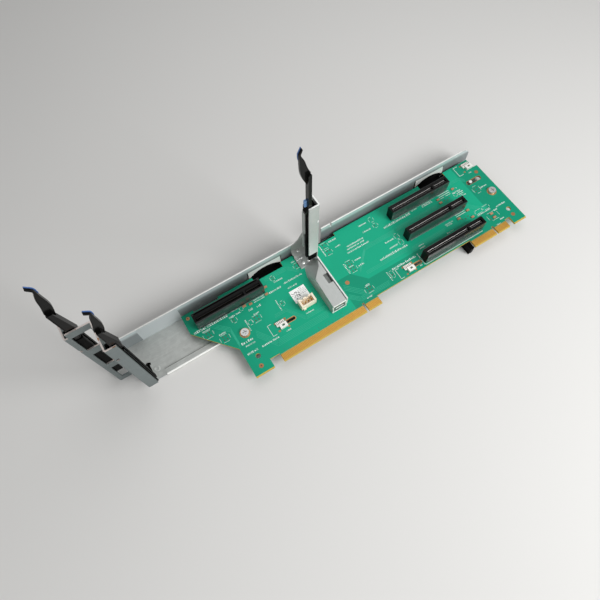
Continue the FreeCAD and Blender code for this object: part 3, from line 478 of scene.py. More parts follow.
printLook = {
    "high": 0.03, "line": 0.3, "thin": 0.2,
    # a stroke's width against its row's height, and what is added to it; heights of the strokes
    "stroke": 0.24, "added": 0.1, "heights": (0.7, 0.85, 1),
    # draws below whole give a full stroke; below both, or from whole to split, two short ones
    "whole": 0.6, "both": 0.34, "split": 0.88, "short": 0.32,
    "frameGap": 0.24, "tickLeft": 0.45, "tickRight": (0.1, 0.5), "tickTall": (0.35, 0.8), "tickStep": 1.25,
    "dash": 0.62, "dashStep": 1,
    # start, end, row, height
    "rows": [
        (-45.5, -16.5, 53, 1.9), (-15, -9, 54, 1), (-40, -33.5, 50.6, 1),
        (-30.5, -24.5, 42.2, 1), (-18, -8.5, 50.3, 1.2), (-18, -9.5, 24.3, 1.1),
        (-20, -9.5, 27.4, 1.8), (-20, -10.5, 18.4, 1.4), (-8, 7.2, 18.2, 1.4),
        (-1, 3.6, 43, 1), (-3.2, 1.6, 47.8, 1.5), (4, 7.6, 47.3, 1.5), (4, 13.8, 53, 1),
        (4, 13.8, 51.4, 0.9), (17.4, 28.6, 52, 1.5), (25, 33.2, 57.8, 1.1), (31, 47.4, 53, 1.3),
        (31, 40, 47.8, 1.2), (32.4, 39.4, 22.9, 1), (13, 17, 18.9, 1), (44.8, 48.2, 65.2, 1),
        (79.4, 86, 65.1, 1.2), (81.4, 86.4, 58.5, 1.1), (89, 105, 54, 1.2), (88, 105, 51.6, 1.2),
        (86.6, 107, 48.9, 1.3), (107.4, 115.4, 64.4, 1.3), (107.4, 115.4, 57.8, 1.2),
        (87.6, 93.4, 40.6, 1.2), (87.6, 93.4, 35.1, 1.2), (116.6, 125.4, 40.5, 1.2),
        (116.6, 125.4, 34.7, 1.2), (104.6, 130.8, 30.3, 1.8), (81.2, 86.6, 18.5, 1.3),
        (77.6, 83.6, 9.2, 1.1), (107.6, 130.2, 18.7, 1.6), (127.6, 130.2, 10, 0.9),
        (123.8, 150, 52.5, 1.8), (152, 157.4, 53.4, 1), (161.6, 171.6, 53.3, 1.1),
        (161.6, 171.6, 51.9, 1), (166.6, 175, 28.4, 1), (166.6, 173, 27, 0.9),
        (136.6, 142, 24.3, 0.9), (136.6, 142, 22, 0.9), (163, 170, 21.6, 0.9), (213, 219.6, 41.5, 1.1),
        (212, 221.4, 20.3, 1.2), (208.2, 212, 18.6, 1.2), (201, 206, 6.7, 0.9),
        (215, 218.4, 58.2, 0.9), (190.2, 198.2, 49.1, 1), (196.2, 200.4, 43.4, 0.9),
        (194, 207.6, 21.6, 1.1), (196.4, 197.6, 52, 1), (207, 211.2, 9.4, 1),
    ],
    # left, right, front, back
    "frames": [
        (-41, -33, 44, 49.6), (-31.6, -24, 35, 41), (-17.4, -13.4, 44.6, 49.4),
        (-7.8, -4.2, 36.8, 40.6), (-4.6, 3, 36.4, 42), (20, 23.4, 37.4, 41.6), (24, 27.4, 59, 63.6),
        (44.4, 50, 58.4, 63.2), (71.2, 77.8, 55, 60), (71.2, 77.8, 61.4, 66.6),
        (79.2, 86, 32.4, 37.6), (79.2, 86, 38, 43.2), (79.6, 87, 11.8, 17.4),
        (103.8, 106.8, 12.4, 18.6), (117.4, 121.6, 62, 66.6), (117.4, 121.6, 56, 60.2),
        (126, 129.6, 38.4, 43.4), (126, 129.6, 32.4, 37.2), (206.6, 213, 38.2, 45.4),
        (190.2, 193.6, 45.4, 48.4), (194, 198.2, 44.4, 48.2), (193.8, 200.6, 22.6, 26),
        (201.4, 208, 22.6, 26.2), (-8, -5.4, 50.4, 54), (199.4, 209.6, 11.4, 18.6),
    ],
    # solid strokes beside the small parts: left, right, front, back
    "bars": [
        (178.6, 189.8, 53.4, 53.8), (178.6, 189.4, 51.7, 52.1), (178.6, 182.4, 50, 50.3),
        (184, 189, 50, 50.3), (178.8, 188.4, 31.1, 31.5), (178.8, 188.4, 29.4, 29.8),
        (195, 199.6, 47, 47.5), (194.6, 198.8, 45.4, 45.8),
    ],
    # corner brackets round the spring clips: side, front, back, length of the arms
    "brackets": [(2.7, 20.4, 29.6, 3.2), (109, 8.6, 17, 3), (206.6, 59.4, 68.6, 4)],
    # columns of short ticks: place, front, back
    "columns": [(-8.8, 33, 43), (18.5, 35, 44), (102.4, 11, 19), (71, 55.6, 66),
                (78.4, 33, 43), (131.8, 9, 19.6)],
    # slot outlines: start, end, row
    "slotLines": [(132.5, 188.5, 8.6)],
}


def boardPrint(look, finish):
    openPiece()
    line, thin = look["line"], look["thin"]

    def bar(x0, x1, y0, y1):
        slab(x0, x1, y0, y1, layerFoot, look["high"])

    for start, end, row, height in look["rows"]:
        x = start
        stroke = look["stroke"] * height + look["added"]
        short = look["short"] * height
        while x < end - 2 * stroke:
            foot = row - height / 2
            head = foot + height * rng.choice(look["heights"])
            kind = rng.random()
            if kind < look["whole"]:
                bar(x, x + stroke, foot, head)
                x += stroke
            if kind < look["both"] or look["whole"] < kind < look["split"]:
                bar(x, x + stroke, foot, foot + short)
                bar(x, x + stroke, head - short, head)
                x += stroke
            x += stroke
    for left, right, front, back in look["frames"]:
        gap = min(right - left, back - front) * look["frameGap"]
        for row in (front, back):
            bar(left + gap, right - gap, row - thin / 2, row + thin / 2)
        for side in (left, right):
            bar(side - thin / 2, side + thin / 2, front + gap, back - gap)
    for stroke in look["bars"]:
        bar(*stroke)
    for side, front, back, arm in look["brackets"]:
        bar(side - line / 2, side + line / 2, front, back)
        for row in (front, back):
            bar(side + line / 2, side + arm, row - line / 2, row + line / 2)
    for place, front, back in look["columns"]:
        y = front
        while y < back:
            right, tall = rng.uniform(*look["tickRight"]), rng.uniform(*look["tickTall"])
            bar(place - look["tickLeft"], place + right, y, y + tall)
            y += look["tickStep"]
    for start, end, row in look["slotLines"]:
        x = start
        while x < end:
            bar(x, x + look["dash"], row - line, row + line)
            x += look["dashStep"]
    closePiece("boardPrint", finish)


# bare lands, vias and tooling marks

landLook = {
    "ringHigh": 0.035, "eyeHigh": 0.045, "ringSides": 28, "eyeSides": 14, "dotSides": 12, "viaSides": 8,
    # place, row, radius of copper, radius of the eye
    "rings": [(-44.2, 66.2, 1.35, 0.5), (-15.7, 6.2, 1.7, 0.55), (72.2, 27.8, 1.7, 0), (221, 55.8, 1.6, 0),
              (219, 7.7, 1.6, 0)],
    # left, right, front, back
    "lands": [
        (7.8, 9.6, 27.3, 28.8), (15.8, 17.4, 27.3, 28.8), (7.8, 9.6, 20.9, 22.2), (15.8, 17.4, 20.9, 22.2),
        (114.6, 116.2, 15.1, 16.6), (122.6, 124, 15.1, 16.6), (114.6, 116.2, 8.7, 9.9),
        (122.6, 124, 8.7, 9.9), (212, 213.6, 60.2, 61.4), (212, 213.4, 66.6, 67.8),
    ],
    "dots": [
        (-38, 48.2), (-35.5, 48.2), (-38, 45.5), (-35.5, 45.5), (-29, 39.3), (-26.4, 39.3), (-29, 36.7),
        (-26.4, 36.7), (-16, 48), (-16, 46.2), (-2, 40.6), (0.5, 40.6), (-2, 38), (0.5, 38),
        (46.3, 62), (48.6, 62), (46.3, 59.7), (48.6, 59.7), (25.8, 62.4), (25.8, 60.4), (21.4, 39.8),
        (73.8, 65.2), (76.5, 65.2), (73.8, 62.7), (73.8, 58.8), (76.4, 58.8), (73.8, 55.9), (81.3, 41.7),
        (83.8, 41.7), (81.3, 39.3), (83.8, 39.3), (81.3, 36.2), (83.8, 36.2), (81.3, 33.8), (83.8, 33.8),
        (82.3, 15.9), (84.9, 15.9), (82.3, 13.2), (84.9, 13.2), (119, 64.6), (119, 58.2), (127.4, 41.2),
        (127.4, 35), (105, 15), (208.5, 43.2), (211, 43.2), (208.4, 40.5), (211, 40.5), (200.5, 13),
        (180.6, 47.4), (183.2, 46.4), (185.8, 47.4), (181.4, 25.4), (184.2, 24.4), (187.4, 25.4),
    ],
    "dotRadius": 0.55, "viaRadius": 0.22,
    # first, last, row, step
    "viaRows": [(1.2, 84.4, 6.6, 2), (2.2, 84.4, 7.6, 2), (1.2, 84.4, 8.9, 3), (175.4, 208.6, 6.7, 2),
                (134, 187, 19.4, 2), (134, 187, 42, 2), (-39, 14, 63.6, 2)],
}


def boardLands(look, copper, dark):
    high = look["ringHigh"]
    openPiece()
    for x, y, radius, _ in look["rings"]:
        disc(x, y, radius, layerFoot, high, look["ringSides"])
    for left, right, front, back in look["lands"]:
        slab(left, right, front, back, layerFoot, high)
    closePiece("copperLands", copper)
    openPiece()
    for x, y, _, eye in look["rings"]:
        if eye:
            disc(x, y, eye, layerFoot, look["eyeHigh"], look["eyeSides"])
    for x, y in look["dots"]:
        disc(x, y, look["dotRadius"], layerFoot, high, look["dotSides"])
    for first, last, row, step in look["viaRows"]:
        x = first
        while x <= last:
            disc(x, row, look["viaRadius"], layerFoot, high, look["viaSides"])
            x += step
    closePiece("solderDots", dark)


# runs of track that show through the resist

trackLook = {
    "width": 0.34, "high": 0.018, "shift": 0.4,
    # corner points, number of tracks, step across
    "runs": [
        ([(-6, 31), (4, 16.6), (47, 16.6)], 5, -1.1),
        ([(12, 34.5), (21.5, 34.5), (31, 21.2), (47, 21.2)], 3, -1),
        ([(67.5, 19), (74, 12.5), (100, 12.5)], 4, -1),
        ([(66.8, 24), (79, 11.5)], 4, 1.2),
        ([(86, 30), (100, 44), (128, 44)], 4, 1),
        ([(90, 28), (128, 28)], 3, -1.1),
        ([(190, 34), (200, 24), (206, 24)], 4, 1),
        ([(190, 57), (203, 57), (207, 53)], 3, 1),
        ([(-34, 52), (-22, 40), (-22, 26)], 4, 1),
        ([(20, 64), (40, 64), (47, 57)], 3, -1.1),
        ([(132, 47.5), (172, 47.5)], 4, -0.9),
        ([(132, 26.5), (164, 26.5)], 4, -0.9),
    ],
}


def boardTracks(look, finish):
    openPiece()
    half = look["width"] / 2
    for corners, count, step in look["runs"]:
        for index in range(count):
            moved = [(x + index * step * look["shift"], y + index * step) for x, y in corners]
            for (x0, y0), (x1, y1) in zip(moved, moved[1:]):
                reach = math.hypot(x1 - x0, y1 - y0) / 2 + half
                midX, midY = (x0 + x1) / 2, (y0 + y1) / 2
                slab(midX - reach, midX + reach, midY - half, midY + half, layerFoot, look["high"],
                     math.atan2(y1 - y0, x1 - x0))
    closePiece("boardTracks", finish)


# blank paper label beside the header

labelLook = {"left": 30.2, "right": 43.2, "front": 33.6, "back": 44.6, "foot": 0.03, "thick": 0.09,
             "grid": (12, 10), "curl": 0.35, "curlFrom": 0.62}


def paperLabel(look, finish):
    deselect()
    width, depth = look["right"] - look["left"], look["back"] - look["front"]
    middle = onBoard((look["left"] + look["right"]) / 2, (look["front"] + look["back"]) / 2, look["foot"])
    columns, rows = look["grid"]
    bpy.ops.mesh.primitive_grid_add(x_subdivisions=columns, y_subdivisions=rows, size=1, location=middle,
                                    enter_editmode=True)
    squeeze((width / 1000, depth / 1000, 1), middle)
    setMode("OBJECT")
    label = bpy.context.object
    # one corner has lifted a little
    for vertex in label.data.vertices:
        across = vertex.co.x / (width / 2000)
        along = vertex.co.y / (depth / 2000)
        lift = max(0.0, (across + along) / 2 - look["curlFrom"]) / (1 - look["curlFrom"])
        vertex.co.z += look["curl"] / 1000 * lift * lift
    settle()
    thicken(label, "paper", look["thick"])
    closePiece("paperLabel", finish)


# grey cells and dashes on the label

inkLook = {
    "left": 31.0, "front": 36.2, "low": 0.08, "high": 0.14,
    # field of cells: step, count each way, share that is filled, width of a cell in its step
    "pitch": 0.62, "cells": (10, 10), "filled": 0.42, "cell": 0.9,
    # dashes beside and above the field
    "lines": [43.4, 42.2, 41.0, 39.8, 38.6], "space": 0.7, "stop": 42.2, "right": 42.6,
    "dash": (0.4, 1.3), "gap": 0.5, "tall": 0.3,
}


def labelInk(look, finish):
    openPiece()
    pitch, low, high = look["pitch"], look["low"], look["high"]
    cell = pitch * look["cell"]
    across, along = look["cells"]
    for row in range(along):
        for column in range(across):
            if rng.random() < look["filled"]:
                x, y = look["left"] + column * pitch, look["front"] + row * pitch
                slab(x, x + cell, y, y + cell, low, high)
    for row in look["lines"]:
        x = look["left"] + across * pitch + look["space"]
        while x < look["stop"]:
            wide = rng.uniform(*look["dash"])
            slab(x, min(x + wide, look["right"]), row, row + look["tall"], low, high)
            x += wide + look["gap"]
    closePiece("labelInk", finish)


# bent spring tips that stand out of the slots' groove walls, just under the lead-in

tipLook = {"pitch": 1.0, "width": 0.92, "reach": 0.36, "tall": 0.1, "below": 1.35, "lip": 0.9, "end": 1.7,
           "rib": 14.5, "ribHalf": 0.85, "lean": 0.8, "thin": 0.2}


def springTips(look, slotNode, finish):
    low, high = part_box(slotNode)
    row = sum(corner.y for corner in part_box(slotNode + "_contacts")) / 2
    step = look["pitch"] / 1000
    width, reach, tall = (look[key] / 1000 for key in ("width", "reach", "tall"))
    rib, half, end = (look[key] / 1000 for key in ("rib", "ribHalf", "end"))
    level = high.z - look["below"] / 1000
    rows = []
    for start, stop in [(low.x + end, high.x - rib - half), (high.x - rib + half, high.x - end)]:
        count, begin = spread(start, stop, step)
        for side in (1, -1):
            deselect()
            wall = row + side * look["lip"] / 1000
            bpy.ops.mesh.primitive_cube_add(size=1, location=(begin, wall - side * reach / 2, level),
                                            scale=(width, reach, tall), enter_editmode=True)
            # both ends lean back to the wall
            for way in (1, -1):
                pickFacing("z", way)
                pull(0, 0, way * look["tall"] * look["lean"])
                squeeze((1, look["thin"], 1), (begin, wall, level))
            settle()
            rows.append(copyAlong(count, step))
    joinPieces(rows)
    closePiece(slotNode + "_tips", finish)


# moulded header: low front wall, split back wall, thick ends and a latch foot

headerLook = {
    "wall": 1.0, "floor": 1.6, "ends": 1.6, "foot": 0.2, "inset": 0.3, "shy": 0.02,
    "frontDrop": 0.5, "sillDrop": 2.6,
    # shares of the length
    "teeth": [(0.0, 0.2), (0.34, 0.56), (0.7, 1.0)],
    "toothDrop": 0.3, "toothIn": 0.1, "toothBack": 0.05,
    "latch": (1.2, 3.4), "latchTall": 2.4, "latchOut": 0.8, "latchIn": 0.2, "bevel": 0.18,
}


def powerHeader(look, finish):
    low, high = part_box("power_header")
    x0, y0, _ = (low - boardZero) * 1000
    long, deep, top = (high - low) * 1000
    x1, y1 = x0 + long, y0 + deep
    wall, ends, inset, shy, foot = (look[key] for key in ("wall", "ends", "inset", "shy", "foot"))
    openPiece()
    slab(x0, x1, y0, y1, 0, look["floor"])
    slab(x0, x0 + ends, y0, y1, foot, top)
    slab(x1 - ends, x1, y0, y1, foot, top)
    slab(x0 + inset, x1 - inset, y0 + shy, y0 + wall, foot, top - look["frontDrop"])
    slab(x0 + inset, x1 - inset, y1 - wall, y1 - shy, foot, top - look["sillDrop"])
    for start, stop in look["teeth"]:
        slab(x0 + start * long + shy, x0 + stop * long - shy, y1 - wall - look["toothIn"],
             y1 - look["toothBack"], foot, top - look["toothDrop"])
    first, last = look["latch"]
    slab(x0 + first, x0 + last, y0 - look["latchOut"], y0 + look["latchIn"], 0.0, look["latchTall"])
    bevelAll(look["bevel"], 2)
    piece = closePiece("powerHeader", finish)
    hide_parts("power_header")


# slits on the spring clips

clipLook = {"shelf": 1.2, "sunk": 0.2, "high": 0.04, "slits": 5, "first": -3.2, "step": 1.25, "wide": 0.45,
            "front": 0.9, "back": 3.0, "places": [(12.4, 25.0), (119.2, 12.8), (boardRight - 8.6, 64.4)]}


def clipSlits(look, finish):
    openPiece()
    shelf = look["shelf"]
    for x, y in look["places"]:
        for index in range(look["slits"]):
            left = x + look["first"] + index * look["step"]
            slab(left, left + look["wide"], y + look["front"], y + look["back"], shelf - look["sunk"],
                 shelf + look["high"])
    closePiece("clipSlits", finish)


# pressed ring in the tray's wing

dimpleLook = {"place": (-80.9, 46.8), "radius": 2.5, "rim": 0.7, "high": 0.3, "thick": 0.5,
              "sides": 32, "smooth": 50}


def floorDimple(look, finish):
    deselect()
    x, y = look["place"]
    bpy.ops.mesh.primitive_cylinder_add(vertices=look["sides"], radius=look["radius"] / 1000,
                                        depth=look["thick"] / 1000, location=onBoard(x, y, trayFloor),
                                        enter_editmode=True)
    pickFacing("z")
    for way in (1, -1):
        bpy.ops.mesh.inset(thickness=look["rim"] / 1000)
        bpy.ops.transform.translate(value=(0, 0, way * look["high"] / 1000))
    settle()
    smooth(look["smooth"])
    closePiece("floorDimple", finish)


# raised rim round the front of each latch lever

rimLook = {"width": 0.5, "high": 0.22, "sunk": 0.03, "front": -0.95, "weld": 1e-6, "flat": 1}


def leverRim(look, node, body, finish):
    deselect()
    bpy.ops.object.add(type="MESH", location=(0, 0, 0))
    piece = bpy.context.object
    piece.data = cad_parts[node].data.copy()
    setMode("EDIT")
    pickAll()
    bpy.ops.mesh.remove_doubles(threshold=look["weld"])
    pickFaces(lambda middle, normal: normal.y > look["front"])
    bpy.ops.mesh.delete(type="FACE")
    pickAll()
    bpy.ops.mesh.dissolve_limited(angle_limit=math.radians(look["flat"]))
    pickAll()
    bpy.ops.mesh.inset(thickness=look["width"] / 1000)
    bpy.ops.mesh.delete(type="FACE")
    pickAll()
    bpy.ops.transform.translate(value=(0, look["sunk"] / 1000, 0))
    setMode("OBJECT")
    thicken(piece, "rim", look["high"] + look["sunk"])
    closePiece(node + "_rim", finish, body)


# domes on the rivets of the centre bracket, in near white steel as a painted highlight

rivetLook = {"radius": 1.45, "high": 0.95, "segments": 20, "rings": 10, "smooth": 40,
             "places": [(52.6, 59.7, 0.95), (57.4, 59.4, 0.95), (54.05, 70.2, 3.1)]}


def rivetDomes(look, finish):
    domes = []
    for place in look["places"]:
        deselect()
        spot = onBoard(*place)
        bpy.ops.mesh.primitive_uv_sphere_add(segments=look["segments"], ring_count=look["rings"],
                                             radius=look["radius"] / 1000, location=spot,
                                             enter_editmode=True)
        squeeze((1, 1, look["high"] / look["radius"]), spot)
        pickAll()
        bpy.ops.mesh.bisect(plane_co=spot, plane_no=(0, 0, 1), use_fill=True, clear_inner=True)
        settle()
        smooth(look["smooth"])
        domes.append(bpy.context.object)
    joinPieces(domes)
    closePiece("rivetDomes", finish)


# lip of the upright's rear wall, beside the centre guide, with a rounded head

lipLook = {
    "left": 54.25, "right": 54.78, "front": 59.6, "back": 62.9, "foot": 42.0, "shoulder": 65.6,
    # rise of each step of the head, and its width against the step below
    "head": [(0.9, 0.8), (0.5, 0.6)],
}


def wallLip(look, finish):
    openPiece()
    slab(look["left"], look["right"], look["front"], look["back"], look["foot"], look["shoulder"])
    crown = onBoard(look["left"], (look["front"] + look["back"]) / 2, look["shoulder"])
    for rise, narrow in look["head"]:
        pickFacing("z")
        pull(0, 0, rise)
        squeeze((1, narrow, 1), crown)
    closePiece("wallLip", finish)


# folded lips on the front end of the centre arm; the lips take the paler upright steel as painted light,
# the panel inside them the darker bracket steel as painted shade

armEndLook = {
    "front": 12.8, "lean": 1.1 / 8.4, "behind": 0.2, "lipBevel": 0.1, "panelBevel": 0.05,
    # left, right, low, high, proud of the face
    "lips": [(48.95, 61.2, 0.15, 1.1, 0.25), (50.0, 61.2, 7.2, 8.25, 0.3), (60.2, 61.2, 1.0, 7.3, 0.3),
             (51.8, 58.6, 3.6, 4.6, 0.2), (49.3, 50.3, 1.0, 7.3, 0.2)],
    "panel": (50.0, 60.4, 0.9, 7.4, 0.08),
}


def armEnd(look, bright, dull):
    tilt = -math.atan(look["lean"])

    def plate(left, right, low, high, proud):
        face = look["front"] + look["lean"] * (low + high) / 2
        slab(left, right, face - proud, face + look["behind"], low, high, 0.0, tilt)

    openPiece()
    for lip in look["lips"]:
        plate(*lip)
    bevelAll(look["lipBevel"])
    closePiece("armLips", bright)
    openPiece()
    plate(*look["panel"])
    bevelAll(look["panelBevel"])
    closePiece("armPanel", dull)


# spring tab that shows in the arm's window

armTabLook = {"left": 57.0, "right": 60.6, "front": 31.2, "back": 40.4, "low": 6.2, "high": 6.8,
              "fold": (0.5, 0, 1.3), "droop": (0, -0.6, -1.4), "bevel": 0.08}


def armTab(look, finish):
    openPiece()
    slab(look["left"], look["right"], look["front"], look["back"], look["low"], look["high"])
    pickFacing("x")
    pull(*look["fold"])
    pickFacing("y", -1)
    pull(*look["droop"])
    bevelAll(look["bevel"])
    closePiece("armTab", finish)


# soldered tails along the front foot of each slot

tailLook = {"pitch": 1.0, "wide": 0.5, "out": 0.75, "thick": 0.16, "ends": 2.0, "narrow": 0.7,
            "rise": {"card_slot_front": 1.5, "card_slot_middle": 1.5, "card_slot_rear": 1.5,
                     "storage_slot": 2.4}}


def slotTails(look, finish):
    rows = []
    step, ends, wide, out, thick = (look[key] / 1000 for key in ("pitch", "ends", "wide", "out", "thick"))
    for node, rise in look["rise"].items():
        low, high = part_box(node)
        count, begin = spread(low.x + ends, high.x - ends, step)
        deselect()
        foot = (begin, low.y - out / 2, boardZero.z + thick / 2)
        bpy.ops.mesh.primitive_cube_add(size=1, location=foot, scale=(wide, out, thick),
                                        enter_editmode=True)
        # the tail turns up at the housing and narrows
        pickFacing("y")
        pull(0, look["thick"], 0)
        settle()
        setMode("EDIT")
        pickFaces(lambda middle, normal: normal.z > squarely and middle.y > low.y)
        pull(0, 0, rise)
        squeeze((look["narrow"], 1, 1), (begin, low.y, boardZero.z))
        setMode("OBJECT")
        rows.append(copyAlong(count, step))
    joinPieces(rows)
    closePiece("slotTails", finish)


# fine upright ribs on the long walls of the slots

ribLook = {"pitch": 1.0, "wide": 0.64, "out": 0.14, "sunk": 0.05, "foot": 2.7, "head": 0.5,
           "ends": 1.6, "crest": 0.5}


def slotRibs(look, finish):
    rows = []
    step, ends, wide, out, sunk = (look[key] / 1000 for key in ("pitch", "ends", "wide", "out", "sunk"))
    for node in slotLook["nodes"]:
        low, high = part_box(node)
        foot, head = low.z + look["foot"] / 1000, high.z - look["head"] / 1000
        count, begin = spread(low.x + ends, high.x - ends, step)
        for face, side in ((low.y, -1), (high.y, 1)):
            deselect()
            middle = (begin, face + side * (out - sunk) / 2, (foot + head) / 2)
            bpy.ops.mesh.primitive_cube_add(size=1, location=middle, scale=(wide, out + sunk, head - foot))
            settle()
            setMode("EDIT")
            # a rib narrows to its crest
            pickFacing("y", side)
            squeeze((look["crest"], 1, 1), (begin, face, foot))
            setMode("OBJECT")
            rows.append(copyAlong(count, step))
    joinPieces(rows)
    closePiece("slotRibs", finish)


# dark sheet on the tray behind and below the board's back edge: painted shade, so the openings there read
# dark

shadeSheetLook = {
    "left": -14.0, "right": 219.0, "front": 60.0, "back": 72.3, "thick": 0.15,
    "bevel": 0.04, "lap": 0.1, "shy": 0.01,
    "arches": [(11.3, 39.1), (169.7, 197.5)], "behind": 73.5, "upstand": 0.4, "top": 1.6,
    "slit": 1.05, "slitWide": 0.8, "slitTop": 5.2,
}


def floorShadeSheet(look, finish):
    top, foot = trayFloor + look["thick"], trayFloor + look["shy"]
    behind, wide = look["behind"], look["slitWide"]
    upstand = behind - look["upstand"]
    openPiece()
    slab(look["left"], look["right"], look["front"], look["back"], trayFloor, top)
    # it runs out under the arched tabs and turns up behind them
    for start, stop in look["arches"]:
        slab(start, stop, look["back"] - look["lap"], behind, foot, top + look["shy"])
        slab(start, stop, upstand, behind, top, look["top"])
        for left in (start - look["slit"], stop + look["slit"] - wide):
            slab(left, left + wide, upstand, behind, foot, look["slitTop"])
    bevelAll(look["bevel"])
    closePiece("floorShadeSheet", finish)


# peg of the front guide in the tray's floor slot

pegLook = {"left": -86.0, "right": -84.2, "front": 44.6, "back": 54.4, "side": 0.05, "sunk": 0.9,
           "proud": 0.02, "high": 0.35, "taper": 0.86, "headLeft": 0.5, "headRight": 1.1, "headFront": 2.2,
           "headBack": 0.6, "headTall": 0.5}


def slotPeg(look, finish):
    left, right, back = look["left"], look["right"], look["back"]
    openPiece()
    slab(left + look["side"], right - look["side"], look["front"], back, trayFloor - look["sunk"],
         trayFloor + look["proud"])
    pickFacing("z")
    pull(0, 0, look["high"])
    squeeze((1, look["taper"], 1), onBoard(left, back, trayFloor))
    slab(left - look["headLeft"], right + look["headRight"], back - look["headFront"],
         back - look["headBack"], trayFloor, trayFloor + look["headTall"])
    closePiece("slotPeg", finish)


# painted highlight: a bright roll where the foot of the centre bracket turns up to the gusset

bendHighlightLook = {"left": 49.0, "right": 54.6, "row": 64.0, "level": 1.02, "radius": 0.32, "flat": 0.5,
            "sides": 12, "smooth": 50}


def bendHighlight(look, finish):
    deselect()
    middle = onBoard((look["left"] + look["right"]) / 2, look["row"], look["level"])
    bpy.ops.mesh.primitive_cylinder_add(vertices=look["sides"], radius=look["radius"] / 1000,
                                        depth=(look["right"] - look["left"]) / 1000, location=middle,
                                        rotation=(0, math.pi / 2, 0), enter_editmode=True)
    squeeze((1, 1, look["flat"]), middle)
    settle()
    smooth(look["smooth"])
    closePiece("bendHighlight", finish)


# floor and light

stageLook = {
    "floor": (0.66, 0.655, 0.64), "shade": 0.97, "size": 6.0, "level": -0.0002, "rough": 0.85,
    "grain": 500.0, "cloud": 5.0, "share": 0.4, "bump": 0.04, "depth": 0.0002, "world": 0.30,
    # place, aim, size, energy
    "lamps": {
        "keyLight": ((0.34, -0.50, 0.54), (0.02, 0.0, 0.0), 0.45, 5.4),
        "topLight": ((0.19, 0.24, 0.62), (-0.01, 0.0, 0.0), 0.55, 1.0),
        "fillLight": ((-0.42, -0.56, 0.40), (-0.03, 0.0, 0.0), 0.7, 1.5),
    },
}


def setStage(look):
    deselect()
    bpy.ops.mesh.primitive_plane_add(size=look["size"], location=(0, 0, look["level"]))
    floor = bpy.context.object
    floor.name = "floor"
    material, shader, wire, point = newFinish("floorPaper", Roughness=look["rough"])
    grain = wire.noise(point, look["grain"], 3.0)
    cloud = wire.noise(point, look["cloud"], 2.0)
    pale = look["floor"]
    dim = [part * look["shade"] for part in pale]
    blend = grain * look["share"] + cloud * (1 - look["share"])
    feed(shader, Base_Color=blend.mixed(dim, pale),
         Normal=wire.bump(grain, look["bump"], look["depth"]))
    floor.data.materials.append(material)

    world = bpy.data.worlds.new("studio")
    bpy.context.scene.world = world
    world.use_nodes = True
    sky = world.node_tree.nodes["Background"]
    sky.inputs["Color"].default_value = (1.0, 1.0, 1.0, 1.0)
    sky.inputs["Strength"].default_value = look["world"]

    for name, (place, aim, size, energy) in look["lamps"].items():
        deselect()
        bpy.ops.object.light_add(type="AREA", location=place)
        light = bpy.context.object
        light.name = name
        light.rotation_euler = (Vector(aim) - Vector(place)).to_track_quat("-Z", "Y").to_euler()
        light.data.size = size
        light.data.energy = energy


# finishes: dark and light tone, roughness, and what differs from the plain kind

plasticRows = {
    # black plastic of the guides, painted darker still as the shade in the bracket's windows
    "guideBlack": ((0.001, 0.001, 0.001), (0.003, 0.003, 0.0027), 0.45, {"shine": 0.04}),
    "leverBlack": ((0.001, 0.001, 0.001), (0.005, 0.0047, 0.0042), 0.22, {"shine": 0.14}),
    # painted shade: near black sheet under the board's back edge
    "filmBlack": ((0.003, 0.003, 0.003), (0.007, 0.007, 0.007), 0.5, {"shine": 0.1}),
    "touchBlue": ((0.05, 0.11, 0.31), (0.10, 0.20, 0.46), 0.45, {}),
    "tabBlue": ((0.12, 0.26, 0.54), (0.21, 0.38, 0.66), 0.45, {}),
    "headerCream": ((0.82, 0.72, 0.55), (0.94, 0.85, 0.70), 0.42, {}),
    "chipTan": ((0.34, 0.17, 0.09), (0.52, 0.28, 0.16), 0.5, {}),
    "printWhite": ((0.60, 0.68, 0.64), (0.84, 0.88, 0.85), 0.6, {}),
    "labelPaper": ((0.90, 0.91, 0.89), (0.99, 1.0, 0.98), 0.7, {"grain": 1500.0, "bumpiness": 0.05}),
    "labelInk": ((0.05, 0.05, 0.06), (0.20, 0.20, 0.21), 0.7, {}),
    "solderDark": ((0.03, 0.045, 0.035), (0.12, 0.08, 0.06), 0.4, {}),
    "trackResist": ((0.012, 0.30, 0.18), (0.022, 0.46, 0.28), 0.34, {}),
    "clipBrown": ((0.16, 0.11, 0.07), (0.34, 0.25, 0.17), 0.5, {}),
}

# how the streaks of a sheet run
even, rising, crossing = (700.0, 700.0, 700.0), (1400.0, 1400.0, 60.0), (1400.0, 60.0, 1400.0)
# tones of upward cut edges: bare steel, painted bright as a highlight
paleEdge = {"above": 0.008, "clean": 0.95, "colour": (0.92, 0.93, 0.90)}
pinkEdge = {"above": 0.012, "clean": 0.62, "colour": (0.86, 0.78, 0.74)}
brightEdge = {"above": 0.060, "clean": 0.95, "colour": (0.90, 0.92, 0.90)}
# left, right, front, back, tone: painted light on the free end of the flange beyond the board's shadow,
# painted highlight on the hem's roll, painted shadow in the hem's seam, painted highlight on the arched
# tabs
trayBands = [
    (-80.0, -47.6, 72.4, 72.8, (0.58, 0.63, 0.64)), (-76.2, -20.0, 38.0, 39.75, (0.86, 0.87, 0.84)),
    (-76.0, -26.0, 43.35, 43.85, (0.10, 0.10, 0.085)), (11.0, 39.4, 70.5, 72.55, (0.86, 0.88, 0.86)),
    (169.4, 197.8, 70.5, 72.55, (0.86, 0.88, 0.86)),
]
